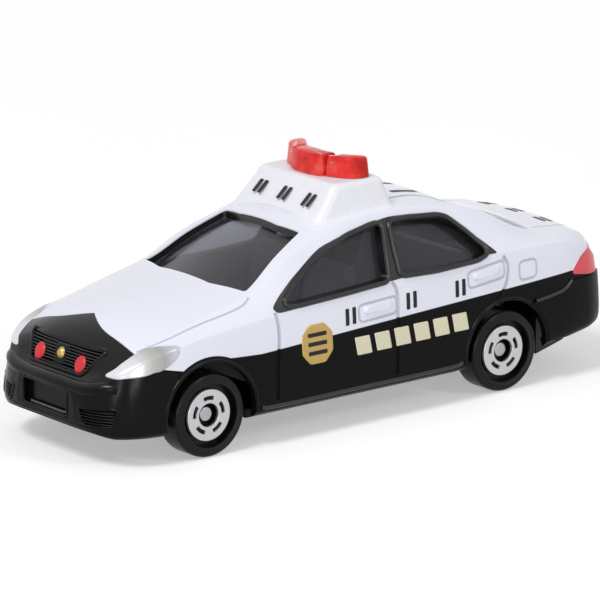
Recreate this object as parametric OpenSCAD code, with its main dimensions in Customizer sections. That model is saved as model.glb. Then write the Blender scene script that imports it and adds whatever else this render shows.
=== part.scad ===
// Toy police saloon car: a cast body on a base plate, with two sprung axles and four free wheels.
// Frame: +X forward, +Y to the car's left, +Z up. The origin is on the floor under the middle of the car.

/* [Body] */
// Length over the bumpers
car_len = 73.3; // [71:0.1:76]
// Width over the sills
car_w = 27; // [26.4:0.1:28]
// Height of the bare roof above the floor
roof_h = 24; // [23.4:0.1:25]
// Wall of the cast body
body_wall = 0.9; // [0.8:0.05:1.1]
// Height of the sill's lower lip up to its ridge
sill_lip = 1.35; // [1.1:0.05:1.6]
// Gap left between fixed pieces that seat on each other
seat_gap = 0.08; // [0.05:0.01:0.12]

/* [Windows] */
// Thickness of the one-piece window moulding
glass_t = 0.7; // [0.5:0.05:0.9]

/* [Lamps] */
// Thickness of a headlamp or tail lamp lens
lens_t = 0.8; // [0.6:0.05:0.85]
// Length of the roof box at its foot
roof_box_len = 11.8; // [11.4:0.1:12.2]
// Width of the roof box at its foot
roof_box_w = 16.2; // [15.6:0.1:16.6]
// Height of the roof box's top above the floor
roof_box_top = 26.9; // [26.5:0.1:27.4]
// Distance from the middle of the car back to the middle of the roof box
roof_box_back = 1.6; // [1.2:0.1:2]
// Distance that the front of the roof box slopes back
roof_box_rake = 3.9; // [3.4:0.1:4.2]
// Distance that the roof box's sides and rear lean in
roof_box_lean = 1; // [0.8:0.1:1.2]
// Rounding of the roof box's edges
roof_box_round = 0.7; // [0.5:0.05:0.9]
// Wall of the roof box
roof_box_wall = 1.1; // [0.9:0.1:1.3]
// Height of the warning light above the roof box
light_h = 2.5; // [2.2:0.05:2.8]
// Width of the warning light over its swept-back lenses
light_span = 13.2; // [12.6:0.1:13.4]
// Distance from the roof box's top front edge back to the warning light
light_back = 0.7; // [0.5:0.1:0.9]
// Distance that the lens faces lean in towards their tops
light_lean = 0.45; // [0.3:0.05:0.55]
// Height of a lens up to the edge where its side starts to lean in
light_edge_h = 1.5; // [1.2:0.1:1.8]

/* [Wheels] */
// Radius of a wheel over its tread
tyre_r = 4.85; // [4.7:0.05:4.95]
// Width of a wheel over its tread
tyre_w = 3.6; // [3.3:0.1:3.8]
// Distance from the widest part of the body in to the wheel's outer face
wheel_inset = 0.5; // [0.3:0.05:0.7]
// Radius of the sidewall's inner lip
lip_r = 3.75; // [3.6:0.05:3.9]
// Rounding of the tread's shoulders
shoulder_r = 0.5; // [0.4:0.05:0.6]
// Radius of the bright wheel disc
disc_r = 3; // [2.8:0.05:3.2]
// Thickness of the bright wheel disc
disc_t = 0.35; // [0.3:0.05:0.4]
// Distance from the tyre's face in to the wheel disc
disc_inset = 0.4; // [0.3:0.05:0.5]
// Depth of the dark groove round the wheel disc
groove_depth = 0.95; // [0.9:0.05:1.1]
// Radius of the hole in the middle of the disc
hub_hole_r = 1.35; // [1.2:0.05:1.5]
// Depth of that hole from the tyre's face
hub_depth = 1.5; // [1.4:0.05:1.7]
// Number of slots in the wheel disc
disc_slots = 5; // [4:1:6]
// Angle that one disc slot spans
slot_angle = 40; // [34:1:44]
// Inner radius of the disc slots
slot_r = 1.98; // [1.8:0.02:2.1]
// Width of the disc slots
slot_w = 0.46; // [0.36:0.02:0.56]
// Radius of the wheel arches
arch_r = 6.15; // [6.05:0.05:6.3]

/* [Axles] */
// Radius of an axle
axle_r = 0.6; // [0.5:0.05:0.7]
// Radius of an axle's headed end
axle_head_r = 0.87; // [0.82:0.01:1]
// Thickness of an axle's headed end
axle_head_t = 0.5; // [0.4:0.05:0.6]
// Gap between an axle's headed end and the floor of the hub hole
axle_head_gap = 0.1; // [0.06:0.01:0.15]
// Running clearance round the axle
axle_clear = 0.05; // [0.03:0.01:0.08]
// Upward travel of each sprung axle
axle_travel = 0.8; // [0.5:0.1:0.9]
// Width of the leaf spring
leaf_w = 3; // [2.6:0.1:3.6]
// Thickness of the leaf spring
leaf_t = 0.3; // [0.2:0.05:0.4]
// Radius of the peg that holds the middle of the leaf spring
leaf_peg_r = 0.8; // [0.6:0.05:0.9]
// Length that the leaf spring reaches past each axle
leaf_tail = 1; // [0.8:0.1:1.2]

/* [Base] */
// Gap between the base plate's edge and the widest part of the body
base_side_gap = 2.2; // [2.1:0.1:2.6]
// Gap between the base plate and the wheels' inner faces
wheel_side_gap = 1.1; // [0.9:0.1:1.4]
// Height of the base plate's underside above the floor
base_h = 3.1; // [2.9:0.1:3.2]
// Thickness of the base plate
base_t = 1; // [0.9:0.1:1.1]
// Distance from each bumper in to the end of the base plate
base_end = 3.6; // [3.2:0.1:4.2]
// Height of the upright edge round the tail of the base plate
tail_edge_h = 4.3; // [3.9:0.1:4.6]
// Thickness of the upright cheeks that guide the axles
cheek_t = 1.4; // [1.2:0.1:1.6]
// Length of those cheeks along the car
cheek_len = 4; // [3.6:0.1:4.4]
// Height of those cheeks above the axle's highest place
cheek_rise = 0.3; // [0.2:0.05:0.35]
// Radius of a fixing rivet's shank
rivet_r = 0.9; // [0.8:0.05:1]
// Radius of a fixing rivet's head
rivet_head_r = 1.5; // [1.3:0.05:1.6]
// Thickness of a fixing rivet's head
rivet_head_t = 0.4; // [0.3:0.05:0.5]
// Length of a rivet above the base plate
rivet_grip = 2.4; // [2:0.1:2.8]
// Radius of the cast posts that the rivets hold
post_r = 1.8; // [1.6:0.05:2]

/* [Cabin] */
// Height of the cabin floor's underside above the floor
floor_h = 7; // [6.9:0.05:7.2]
// Thickness of the cabin moulding
floor_t = 0.9; // [0.8:0.1:1.1]
// Width of one front seat
seat_w = 7; // [6.4:0.1:7.6]
// Width of the gap between the front seats
seat_aisle = 3; // [2.6:0.1:3.4]
// Height of a front seat's back above the cabin floor
seat_back_h = 9.4; // [8.8:0.1:9.8]
// Height of the dashboard above the cabin floor
dash_h = 6; // [5.6:0.1:6.4]
// Depth of the dashboard along the car
dash_len = 3.4; // [3:0.1:3.8]
// Radius of the steering wheel
steering_r = 1.9; // [1.7:0.1:2]
// Thickness of the steering wheel's rim
steering_t = 0.5; // [0.4:0.05:0.6]
// Slope of the steering column
steering_angle = 62; // [58:1:66]

/* [Hidden] */
$fn = 48;

half_len = car_len / 2;
half_w = car_w / 2;
// Places of the axles, posts and cabin floor along the half length
front_axle_share = 0.6303;
rear_axle_share = -0.5484;
front_post_share = 0.7395;
rear_post_share = -0.8104;
floor_front_share = 0.4393;
floor_rear_share = -0.6521;
// Places of the seats along the cabin floor
front_seat_share = 0.235;
rear_seat_share = 0.61;
front_axle_x = front_axle_share * half_len;
rear_axle_x = rear_axle_share * half_len;
wheelbase = front_axle_x - rear_axle_x;
axle_mid_x = (front_axle_x + rear_axle_x) / 2;
wheel_face_y = half_w - wheel_inset;
wheel_back_y = wheel_face_y - tyre_w;
disc_seat = disc_inset + disc_t + seat_gap;
axle_end_y = wheel_face_y - hub_depth + axle_head_gap + axle_head_t;
base_top = base_h + base_t;
base_w = car_w - 2 * base_side_gap;
base_waist = 2 * (wheel_back_y - wheel_side_gap);
floor_w = base_w;
dash_w = floor_w - base_side_gap;
axle_floor = tyre_r - axle_r - axle_clear;
cheek_top = tyre_r + axle_r + axle_travel + cheek_rise;
leaf_h = tyre_r + axle_r + seat_gap;
front_post = front_post_share * half_len;
rear_post = rear_post_share * half_len;
floor_front = floor_front_share * half_len;
floor_len = floor_front - floor_rear_share * half_len;
front_seat_x = front_seat_share * floor_len;
rear_seat_x = rear_seat_share * floor_len;
floor_top = floor_h + floor_t;
// Distance that a cut runs past the face it opens
overrun = body_wall;

// Inner edge of the window frames, as a place along the half length and a share of the roof height
front_window_shares = [[0.322, 0.656], [0.262, 0.725], [0.161, 0.806], [0.041, 0.873], [-0.079, 0.909],
                       [-0.107, 0.909], [-0.074, 0.681]];
rear_window_shares = [[-0.153, 0.909], [-0.339, 0.897], [-0.37, 0.882], [-0.483, 0.716], [-0.442, 0.696],
                      [-0.275, 0.686], [-0.134, 0.692]];
// The windscreen and the back window from above, as shares of the half length and the half width
windscreen_shares = [[0.178, 0], [0.172, 0.262], [0.153, 0.517], [0.423, 0.704], [0.462, 0.35], [0.472, 0]];
back_window_shares = [[-0.408, 0], [-0.41, 0.26], [-0.417, 0.511], [-0.715, 0.696], [-0.735, 0.356], [-0.743, 0]];
// Lamp outlines from the side, as a place along the half length and a share of the roof height
headlamp_shares = [[0.938, 0.437], [0.91, 0.44], [0.864, 0.447], [0.826, 0.46], [0.8, 0.466], [0.744, 0.514],
    [0.733, 0.553], [0.742, 0.561], [0.78, 0.56], [0.809, 0.552], [0.847, 0.533], [0.903, 0.487]];
tail_lamp_shares = [[-0.83, 0.517], [-0.879, 0.592], [-0.93, 0.622], [-1.03, 0.633], [-1.03, 0.483],
    [-0.941, 0.488]];
headlamp_reach_share = 0.5;
tail_lamp_reach_share = 0.52;
// The seam of the black nose from above, and below the headlamps from the side
nose_shares = [[0.808, 0], [0.824, 0.079], [0.843, 0.2], [0.854, 0.34], [0.854, 0.52], [0.851, 0.79],
    [1.05, 0.79], [1.05, 0]];
flank_shares = [[0.748, 0.05], [0.748, 0.448], [0.79, 0.461], [0.82, 0.476], [0.9, 0.462], [1.05, 0.447],
    [1.05, 0.05]];
nose_low_share = 0.4;
// Shallow panels of the nose from the front, as shares of the half width and the roof height
grille_shares = [[-0.52, 0.525], [0.52, 0.525], [0.36, 0.417], [-0.36, 0.417]];
plate_shares = [[-0.31, 0.34], [0.31, 0.34], [0.31, 0.222], [-0.31, 0.222]];
intake_shares = [[0.45, 0.28], [0.8, 0.29], [0.78, 0.212], [0.52, 0.206]];
panel_depth_share = 0.4;
front_share = 0.85;
// Stretches of the body that a piece needs, as shares of the half length
cabin_from_share = -0.79;
cabin_to_share = 0.54;
nose_from_share = 0.6;
tail_to_share = -0.7;
roof_from_share = -0.4;
roof_to_share = 0.3;
// Lenses of the warning light from above, as shares of half its width, back from its front and across
mid_lens_shares = [[0, 0.2], [0, -0.2], [-0.07, -0.44], [-0.45, -0.44], [-0.45, 0.44], [-0.07, 0.44]];
wing_lens_shares = [[-0.12, 0.44], [-0.26, 0.79], [-0.36, 0.92], [-0.52, 1], [-0.66, 1], [-0.75, 0.94],
    [-0.76, 0.8], [-0.5, 0.44]];
// Seat outlines from the side: shares of the seat back's height, along the car and upwards
front_seat_shares = [[0, 0], [0, 0.3], [0.08, 0.36], [0.52, 0.3], [0.66, 0.82], [0.68, 1], [0.8, 1], [0.84, 0.82],
    [0.74, 0.3], [0.7, 0]];
bench_shares = [[0, 0], [0, 0.32], [0.1, 0.38], [0.62, 0.32], [0.86, 0.9], [1, 0.9], [0.86, 0.3], [0.82, 0]];
// Dashboard outline from the side: shares of its depth and height
dash_shares = [[0, 0], [0, 0.78], [0.3, 1], [0.8, 0.9], [1, 0.6], [0.9, 0]];

// Where the rings of the body lie along its half length
station_shares = [-1, -0.993, -0.978, -0.95, -0.91, -0.85, -0.78, -0.7, -0.62, -0.54, -0.46, -0.38,
    -0.3, -0.2, -0.1, 0, 0.07, 0.15, 0.21, 0.29, 0.37, 0.42, 0.475, 0.53, 0.61, 0.69, 0.76, 0.81,
    0.86, 0.895, 0.922, 0.945, 0.965, 0.982, 0.994, 1];

// Body lines: each pair is a place along the half length and a height as a share of the roof height
top_shares = [[-1, 0.52], [-0.984, 0.62], [-0.949, 0.7], [-0.893, 0.727], [-0.785, 0.744],
    [-0.703, 0.78], [-0.539, 0.9], [-0.416, 0.962], [-0.295, 0.991], [-0.102, 1], [0.061, 0.988],
    [0.152, 0.962], [0.208, 0.926], [0.42, 0.771], [0.465, 0.741], [0.553, 0.716], [0.689, 0.681],
    [0.809, 0.638], [0.867, 0.604], [0.913, 0.55], [0.934, 0.488], [0.948, 0.43], [0.966, 0.402],
    [0.99, 0.388], [1, 0.365]];
rail_h_shares = [[-1, 0.51], [-0.978, 0.61], [-0.919, 0.69], [-0.839, 0.718], [-0.728, 0.738],
    [-0.539, 0.87], [-0.416, 0.935], [-0.295, 0.965], [-0.13, 0.975], [0.007, 0.96], [0.134, 0.913],
    [0.279, 0.827], [0.402, 0.72], [0.553, 0.663], [0.742, 0.595], [0.842, 0.54], [0.913, 0.485],
    [0.953, 0.42], [0.975, 0.39], [1, 0.36]];
belt_h_shares = [[-1, 0.47], [-0.975, 0.55], [-0.93, 0.61], [-0.859, 0.665], [-0.758, 0.69],
    [-0.537, 0.695], [-0.094, 0.665], [0.359, 0.618], [0.55, 0.592], [0.742, 0.555], [0.832, 0.52],
    [0.903, 0.472], [0.953, 0.408], [0.98, 0.382], [1, 0.35]];
bottom_shares = [[-1, 0.26], [-0.96, 0.232], [-0.839, 0.208], [-0.698, 0.175], [-0.597, 0.15],
    [0.51, 0.15], [0.772, 0.142], [0.933, 0.147], [1, 0.18]];

// Body lines: each pair is a place along the half length and a reach as a share of the half width
side_shares = [[-1, 0.62], [-0.99, 0.775], [-0.96, 0.875], [-0.894, 0.945], [-0.758, 0.985],
    [-0.537, 1], [0.51, 1], [0.745, 0.985], [0.84, 0.952], [0.9, 0.893], [0.941, 0.815], [0.971, 0.704],
    [0.992, 0.578], [1, 0.41]];
belt_w_shares = [[-1, 0.59], [-0.99, 0.735], [-0.96, 0.82], [-0.894, 0.885], [-0.758, 0.92],
    [-0.537, 0.93], [0.359, 0.93], [0.611, 0.925], [0.742, 0.912], [0.842, 0.875], [0.903, 0.8],
    [0.945, 0.7], [0.975, 0.58], [1, 0.36]];
rail_w_shares = [[-1, 0.5], [-0.98, 0.65], [-0.94, 0.73], [-0.839, 0.745], [-0.728, 0.735],
    [-0.539, 0.69], [-0.295, 0.64], [-0.094, 0.635], [0.134, 0.645], [0.279, 0.715], [0.402, 0.77],
    [0.553, 0.765], [0.742, 0.74], [0.842, 0.72], [0.913, 0.65], [0.953, 0.55], [0.98, 0.45], [1, 0.3]];

// How far along each stretch of a ring its extra points lie
side_step_shares = [[0.22, 0.4], [0.5, 0.72], [0.85, 0.93]];
// Points of a ring left out below the window moulding's skirt
skirt_skip = 2 + len(side_step_shares);
roof_step_shares = [[0.7, 0.52], [0.36, 0.88]];
tuck_share = 0.93;
lip_share = 0.985;
pillar_bulge_share = 0.03;

// A smooth curve through the pairs of a table that never overshoots them
function gap(t, i) = (t[i + 1][1] - t[i][1]) / (t[i + 1][0] - t[i][0]);
function lean(t, i) =
    i == 0 ? gap(t, 0)
    : i == len(t) - 1 ? gap(t, i - 1)
    : gap(t, i - 1) * gap(t, i) <= 0 ? 0
    : 2 * gap(t, i - 1) * gap(t, i) / (gap(t, i - 1) + gap(t, i));
function span(t, x, i = 0) = i >= len(t) - 2 || x < t[i + 1][0] ? i : span(t, x, i + 1);
function between(t, x, i, u) =
    t[i][1] * (1 + 2 * u) * pow(1 - u, 2) + t[i + 1][1] * u * u * (3 - 2 * u)
    + (t[i + 1][0] - t[i][0]) * (lean(t, i) * u * pow(1 - u, 2) - lean(t, i + 1) * u * u * (1 - u));
function at(t, x) =
    let (i = span(t, x))
    between(t, x, i, (x - t[i][0]) / (t[i + 1][0] - t[i][0]));
function mix(a, b, f) = a + (b - a) * f;

// Control points of half a ring, from the lower lip up to the middle of the roof
function half_ring(u) =
    let (
        low = roof_h * at(bottom_shares, u),
        side = half_w * at(side_shares, u),
        sill = [side, low + sill_lip],
        belt = [half_w * at(belt_w_shares, u), roof_h * at(belt_h_shares, u)],
        rail = [half_w * at(rail_w_shares, u), roof_h * at(rail_h_shares, u)],
        crown = roof_h * at(top_shares, u)
    )
    concat(
        [[side * tuck_share, low], [side * tuck_share, low]],
        [[side * lip_share, mix(low, sill[1], lip_share / 4)], sill],
        [for (s = side_step_shares) [mix(sill[0], belt[0], s[0]), mix(sill[1], belt[1], s[1])]],
        [belt, belt],
        [[mix(belt[0], rail[0], 1 / 2) + pillar_bulge_share * (rail[1] - belt[1]), mix(belt[1], rail[1], 1 / 2)]],
        [rail, rail],
        [for (s = roof_step_shares) [rail[0] * s[0], mix(rail[1], crown, s[1])]],
        [[0, crown]]
    );

// A whole ring: the half ring, its mirror image, and a smooth curve drawn from both
function mirrored(h) =
    concat(h, [for (i = [len(h) - 2 : -1 : 0]) [-h[i][0], h[i][1]]]);
function smooth(p, i, f) =
    (p[i - 1] * pow(1 - f, 3) + p[i] * (3 * pow(f, 3) - 6 * f * f + 4)
    + p[i + 1] * (1 + 3 * f + 3 * f * f - 3 * pow(f, 3)) + p[i + 2] * pow(f, 3)) / 6;
function ring_curve(p, steps) =
    concat(
        [p[0]],
        [for (i = [1 : len(p) - 3], k = [0 : steps - 1]) smooth(p, i, k / steps)],
        [smooth(p, len(p) - 3, 1), p[len(p) - 1]]
    );

// The same ring moved in by a wall, square to its own outline
function unit(v) = v / norm(v);
function drawn_in(p, wall) =
    [for (i = [0 : len(p) - 1])
        let (along = unit(p[min(i + 1, len(p) - 1)] - p[max(i - 1, 0)]))
        p[i] + wall * [-along[1], along[0]]];

// Rings of the body drawn in by a wall, each cut off a number of points above its lips
function rings(places, wall, steps, skip) =
    [for (u = places)
        let (r = drawn_in(ring_curve(mirrored(half_ring(u)), steps), wall))
        [for (i = [skip * steps : len(r) - 1 - skip * steps]) r[i]]];

function places_of(from, to) = [for (u = station_shares) if (u >= from && u <= to) u];

// The same rings set along the car; the first and last move in by the thickness of an end wall
function in_space(places, wall, rings, thick) =
    let (last = len(places) - 1)
    [for (s = [0 : last], q = rings[s])
        [places[s] * (half_len - wall)
         + (s == 0 ? (1 + places[0]) * thick : s == last ? (places[last] - 1) * thick : 0), q[0], q[1]]];

function quad(a, b, c, d) = [[a, b, c], [a, c, d]];

// A tub open underneath, skinned over the rings between two places along the half length.
// outer and inner are how far its two faces lie inside the body's outer face.
module tub(outer, inner, from = -1, to = 1, steps = 2, inner_steps = 1, skip = 0) {
    places = places_of(from, to);
    last = len(places) - 1;
    out = rings(places, outer, steps, skip);
    inn = rings(places, inner, inner_steps, skip);
    n = len(out[0]);
    m = len(inn[0]);
    base = n * len(places);
    points = concat(in_space(places, outer, out, 0), in_space(places, inner, inn, inner - outer));
    outer_skin = [for (s = [0 : last - 1], i = [0 : n - 2])
        each quad(s * n + i, (s + 1) * n + i, (s + 1) * n + i + 1, s * n + i + 1)];
    inner_skin = [for (s = [0 : last - 1], i = [0 : m - 2])
        each quad(base + s * m + i, base + s * m + i + 1, base + (s + 1) * m + i + 1, base + (s + 1) * m + i)];
    left_rim = [for (s = [0 : last - 1])
        each quad((s + 1) * n, s * n, base + s * m, base + (s + 1) * m)];
    right_rim = [for (s = [0 : last - 1])
        each quad((s + 1) * n - 1, (s + 2) * n - 1, base + (s + 2) * m - 1, base + (s + 1) * m - 1)];
    rear_rim = quad(0, n - 1, base + m - 1, base);
    front_rim = quad((last + 1) * n - 1, last * n, base + last * m, base + (last + 1) * m - 1);
    caps = [
        [for (i = [0 : n - 1]) i],
        [for (i = [n - 1 : -1 : 0]) last * n + i],
        [for (i = [m - 1 : -1 : 0]) base + i],
        [for (i = [0 : m - 1]) base + last * m + i]];
    polyhedron(points, concat(outer_skin, inner_skin, left_rim, right_rim, rear_rim, front_rim, caps));
}

// The body's form as a solid, grown by a gap
module solid_form(gap, from, to) {
    places = places_of(from, to);
    last = len(places) - 1;
    out = rings(places, -gap, 1, 0);
    n = len(out[0]);
    points = in_space(places, -gap, out, 0);
    skin = [for (s = [0 : last - 1], i = [0 : n - 1])
        each quad(s * n + i, (s + 1) * n + i, (s + 1) * n + (i + 1) % n, s * n + (i + 1) % n)];
    caps = [[for (i = [0 : n - 1]) i], [for (i = [n - 1 : -1 : 0]) last * n + i]];
    polyhedron(points, concat(skin, caps));
}

module both_sides() {
    children();
    mirror([0, 1, 0]) children();
}

// A prism whose outline is seen from the side, from one place across the car to another
module side_prism(shares, y_from, y_to) {
    translate([0, y_to, 0])
    rotate([90, 0, 0])
    linear_extrude(y_to - y_from)
    polygon([for (s = shares) [s[0] * half_len, s[1] * roof_h]]);
}

// A prism whose outline is seen from above; its mirror image closes it over the middle of the car
module top_prism(shares, z_from, z_to) {
    translate([0, 0, z_from])
    linear_extrude(z_to - z_from)
    polygon(concat(
        [for (s = shares) [s[0] * half_len, s[1] * half_w]],
        [for (i = [len(shares) - 1 : -1 : 0]) [shares[i][0] * half_len, -shares[i][1] * half_w]]));
}

// A prism whose outline is seen from the front, over the nose of the car
module front_prism(shares) {
    translate([front_share * half_len, 0, 0])
    rotate([90, 0, 90])
    linear_extrude((1 - front_share) * half_len + overrun)
    polygon([for (s = shares) [s[0] * half_w, s[1] * roof_h]]);
}

module across(r, y_from, y_to) {
    translate([0, y_to, 0])
    rotate([90, 0, 0])
    cylinder(r = r, h = y_to - y_from, $fn = 52);
}

module arches() {
    for (x = [front_axle_x, rear_axle_x])
        translate([x, 0, tyre_r])
        across(arch_r, -half_w - overrun, half_w + overrun);
}

module nose_room() {
    union() {
        top_prism(nose_shares, nose_low_share * roof_h, roof_h);
        side_prism(flank_shares, -half_w - overrun, half_w + overrun);
    }
}

module headlamp_room() {
    both_sides()
    side_prism(headlamp_shares, headlamp_reach_share * half_w, half_w + overrun);
}

module tail_lamp_room() {
    both_sides()
    side_prism(tail_lamp_shares, tail_lamp_reach_share * half_w, half_w + overrun);
}

module window_cuts() {
    side_prism(front_window_shares, -half_w - overrun, half_w + overrun);
    side_prism(rear_window_shares, -half_w - overrun, half_w + overrun);
    top_prism(windscreen_shares, tyre_r + arch_r, roof_h + overrun);
    top_prism(back_window_shares, tyre_r + arch_r, roof_h + overrun);
}

module post(x) {
    top = roof_h * at(top_shares, x / half_len) - body_wall / 2;
    translate([x, 0, base_top + seat_gap])
    difference() {
        cylinder(r = post_r, h = top - base_top - seat_gap);
        translate([0, 0, -overrun])
        cylinder(r = rivet_r + axle_clear, h = rivet_grip + seat_gap + overrun);
    }
}

module body_shell() {
    color("white")
    resize([0, 0, 0])
    union() {
        difference() {
            tub(0, body_wall);
            arches();
            window_cuts();
            nose_room();
            headlamp_room();
            tail_lamp_room();
        }
        post(front_post);
        post(rear_post);
    }
}

module front_fascia() {
    color("#26262a")
    resize([0, 0, 0])
    difference() {
        intersection() {
            tub(0, body_wall, from = nose_from_share);
            translate([seat_gap, 0, -seat_gap]) nose_room();
        }
        arches();
        headlamp_room();
        intersection() {
            tub(-seat_gap, panel_depth_share * body_wall, from = nose_from_share);
            union() {
                front_prism(grille_shares);
                front_prism(plate_shares);
                both_sides() front_prism(intake_shares);
            }
        }
    }
}

// A lens is a layer of the body's own form inside its room, drawn in by the seat gap
module lens(shares, reach_share, from_share, to_share) {
    resize([0, 0, 0])
    intersection() {
        tub(0, lens_t, from = from_share, to = to_share);
        translate([0, half_w + overrun, 0])
        rotate([90, 0, 0])
        linear_extrude((1 - reach_share) * half_w + overrun - seat_gap)
        offset(delta = -seat_gap)
        polygon([for (s = shares) [s[0] * half_len, s[1] * roof_h]]);
    }
}

module headlamp_left() {
    color("#d6dade")
    lens(headlamp_shares, headlamp_reach_share, nose_from_share, 1);
}

module headlamp_right() {
    mirror([0, 1, 0]) headlamp_left();
}

module tail_lamp_left() {
    color("#d02028")
    lens(tail_lamp_shares, tail_lamp_reach_share, -1, tail_to_share);
}

module tail_lamp_right() {
    mirror([0, 1, 0]) tail_lamp_left();
}

// The window moulding lines the inside of the whole roof and hangs a skirt below the window line
module window_glazing() {
    outer = body_wall + seat_gap;
    color("#3a3e48")
    tub(outer, outer + glass_t, from = cabin_from_share, to = cabin_to_share, steps = 1, skip = skirt_skip);
}

module seat(shares, x, y, w, tall) {
    translate([floor_front - x, y + w / 2, floor_top])
    rotate([90, 0, 0])
    linear_extrude(w)
    polygon([for (s = shares) [-s[0] * tall, s[1] * tall]]);
}

module steering_wheel() {
    translate([floor_front - dash_len, -(seat_aisle + seat_w) / 2, floor_top + dash_h * dash_shares[1][1]])
    rotate([0, -steering_angle, 0]) {
        translate([0, 0, -dash_len / 4])
        cylinder(r = steering_t, h = steering_r + dash_len / 4);
        translate([0, 0, steering_r])
        rotate_extrude() translate([steering_r - steering_t / 2, 0]) circle(r = steering_t / 2);
        for (a = [0, 120, 240])
            translate([0, 0, steering_r])
            rotate([0, 90, a])
            cylinder(r = steering_t / 3, h = steering_r - steering_t / 2);
    }
}

module cabin_interior() {
    waist = 2 * wheel_back_y - 4 * seat_gap - 2 * axle_travel;
    wide_len = floor_front - rear_axle_x - arch_r - seat_gap;
    color("#4a4c52")
    union() {
        translate([floor_front - wide_len, -floor_w / 2, floor_h])
        cube([wide_len, floor_w, floor_t]);
        translate([floor_front - floor_len, -waist / 2, floor_h])
        cube([floor_len, waist, floor_t]);
        for (y = [-1, 1] * (seat_aisle + seat_w) / 2)
            seat(front_seat_shares, front_seat_x, y, seat_w, seat_back_h);
        seat(bench_shares, rear_seat_x, 0, waist, seat_back_h);
        translate([floor_front, dash_w / 2, floor_top])
        rotate([90, 0, 0])
        linear_extrude(dash_w)
        polygon([for (s = dash_shares) [-s[0] * dash_len, s[1] * dash_h]]);
        steering_wheel();
    }
}

module base_outline() {
    well = arch_r;
    nose = half_len - base_end;
    difference() {
        polygon([
            [nose, base_waist / 2], [front_axle_x + well, base_w / 2], [rear_axle_x - well, base_w / 2],
            [-nose, base_waist / 2], [-nose, -base_waist / 2], [rear_axle_x - well, -base_w / 2],
            [front_axle_x + well, -base_w / 2], [nose, -base_waist / 2]]);
        for (x = [front_axle_x, rear_axle_x], side = [-1, 1])
            translate([x - well, side > 0 ? base_waist / 2 : -base_waist / 2 - half_w])
            square([2 * well, half_w]);
    }
}

// The upright edge closes the gap under the tail
module tail_edge() {
    tail = half_len - base_end;
    start = rear_axle_x - arch_r;
    translate([0, 0, base_h])
    linear_extrude(tail_edge_h)
    polygon([
        [start, base_w / 2], [-tail, base_waist / 2], [-tail, -base_waist / 2], [start, -base_w / 2],
        [start, -base_w / 2 + base_t], [base_t - tail, -base_waist / 2 + base_t],
        [base_t - tail, base_waist / 2 - base_t], [start, base_w / 2 - base_t]]);
}

module cheek(x, side) {
    translate([x - cheek_len / 2, side * (base_waist - cheek_t) / 2 - cheek_t / 2, base_h])
    cube([cheek_len, cheek_t, cheek_top - base_h]);
}

module axle_slot(x) {
    slot = 2 * (axle_r + axle_clear);
    translate([x, 0, axle_floor + slot / 2])
    across(slot / 2, -half_w, half_w);
    translate([x - slot / 2, -half_w, axle_floor + slot / 2])
    cube([slot, car_w, cheek_top]);
}

module chassis() {
    stand_y = base_w / 2 - 2 * cheek_t;
    color("#1c1c1e")
    difference() {
        union() {
            translate([0, 0, base_h]) linear_extrude(base_t) base_outline();
            tail_edge();
            for (x = [front_axle_x, rear_axle_x], side = [-1, 1]) cheek(x, side);
            translate([axle_mid_x, 0, base_h])
            cylinder(r = 2 * leaf_peg_r, h = leaf_h - seat_gap - base_h);
            translate([axle_mid_x, 0, base_h])
            cylinder(r = leaf_peg_r, h = floor_h - seat_gap - base_h);
            for (x = [floor_front - dash_len, floor_front - rear_seat_x], side = [-1, 1])
                translate([x, side * stand_y, base_h])
                cylinder(r = cheek_t / 2, h = floor_h - seat_gap - base_h);
        }
        for (x = [front_axle_x, rear_axle_x]) axle_slot(x);
        for (x = [front_post, rear_post]) translate([x, 0, base_h - overrun]) {
            cylinder(r = rivet_r + axle_clear, h = base_t + 2 * overrun);
            cylinder(r = rivet_head_r + axle_clear, h = rivet_head_t + seat_gap + overrun);
        }
    }
}

module chassis_rivets() {
    color("silver")
    for (x = [front_post, rear_post]) translate([x, 0, base_h + seat_gap / 2]) {
        cylinder(r = rivet_head_r, h = rivet_head_t);
        cylinder(r = rivet_r, h = base_t + rivet_grip - seat_gap);
    }
}

module leaf_spring() {
    color("#b9bcc0")
    translate([axle_mid_x - wheelbase / 2 - leaf_tail, -leaf_w / 2, leaf_h])
    difference() {
        cube([wheelbase + 2 * leaf_tail, leaf_w, leaf_t]);
        translate([wheelbase / 2 + leaf_tail, leaf_w / 2, -overrun])
        cylinder(r = leaf_peg_r + seat_gap, h = leaf_t + 2 * overrun);
    }
}

module axle(x) {
    color("#c4c6c8")
    translate([x, 0, tyre_r]) {
        across(axle_r, -axle_end_y, axle_end_y);
        across(axle_head_r, axle_end_y - axle_head_t, axle_end_y);
        across(axle_head_r, -axle_end_y, -axle_end_y + axle_head_t);
    }
}

module front_axle() {
    axle(front_axle_x);
}

module rear_axle() {
    axle(rear_axle_x);
}

// Half outline of a wheel: radius, and depth in from the tyre's outer face
function shoulder(depth, turn) =
    [for (a = [0 : 15 : 90])
        [tyre_r - shoulder_r + shoulder_r * sin(turn > 0 ? a : 90 - a),
         depth + turn * (shoulder_r * cos(turn > 0 ? a : 90 - a) - shoulder_r)]];
wheel_outline = concat(
    [[axle_r + axle_clear, -tyre_w], [axle_r + axle_clear, -hub_depth], [hub_hole_r, -hub_depth]],
    [[hub_hole_r, -disc_seat], [disc_r, -disc_seat], [disc_r, -groove_depth], [lip_r, -groove_depth]],
    [[lip_r, -disc_inset / 2], [lip_r + disc_inset / 2, 0]],
    shoulder(0, 1),
    shoulder(-tyre_w, -1));

// Turns a piece made about the Z axis onto the axle, with its outer face to the car's left or right
module on_axle(x, side) {
    translate([x, side * wheel_face_y, tyre_r])
    rotate([-90 * side, 0, 0])
    children();
}

module wheel(x, side) {
    color("#202022")
    on_axle(x, side)
    rotate_extrude() polygon(wheel_outline);
}

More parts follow.
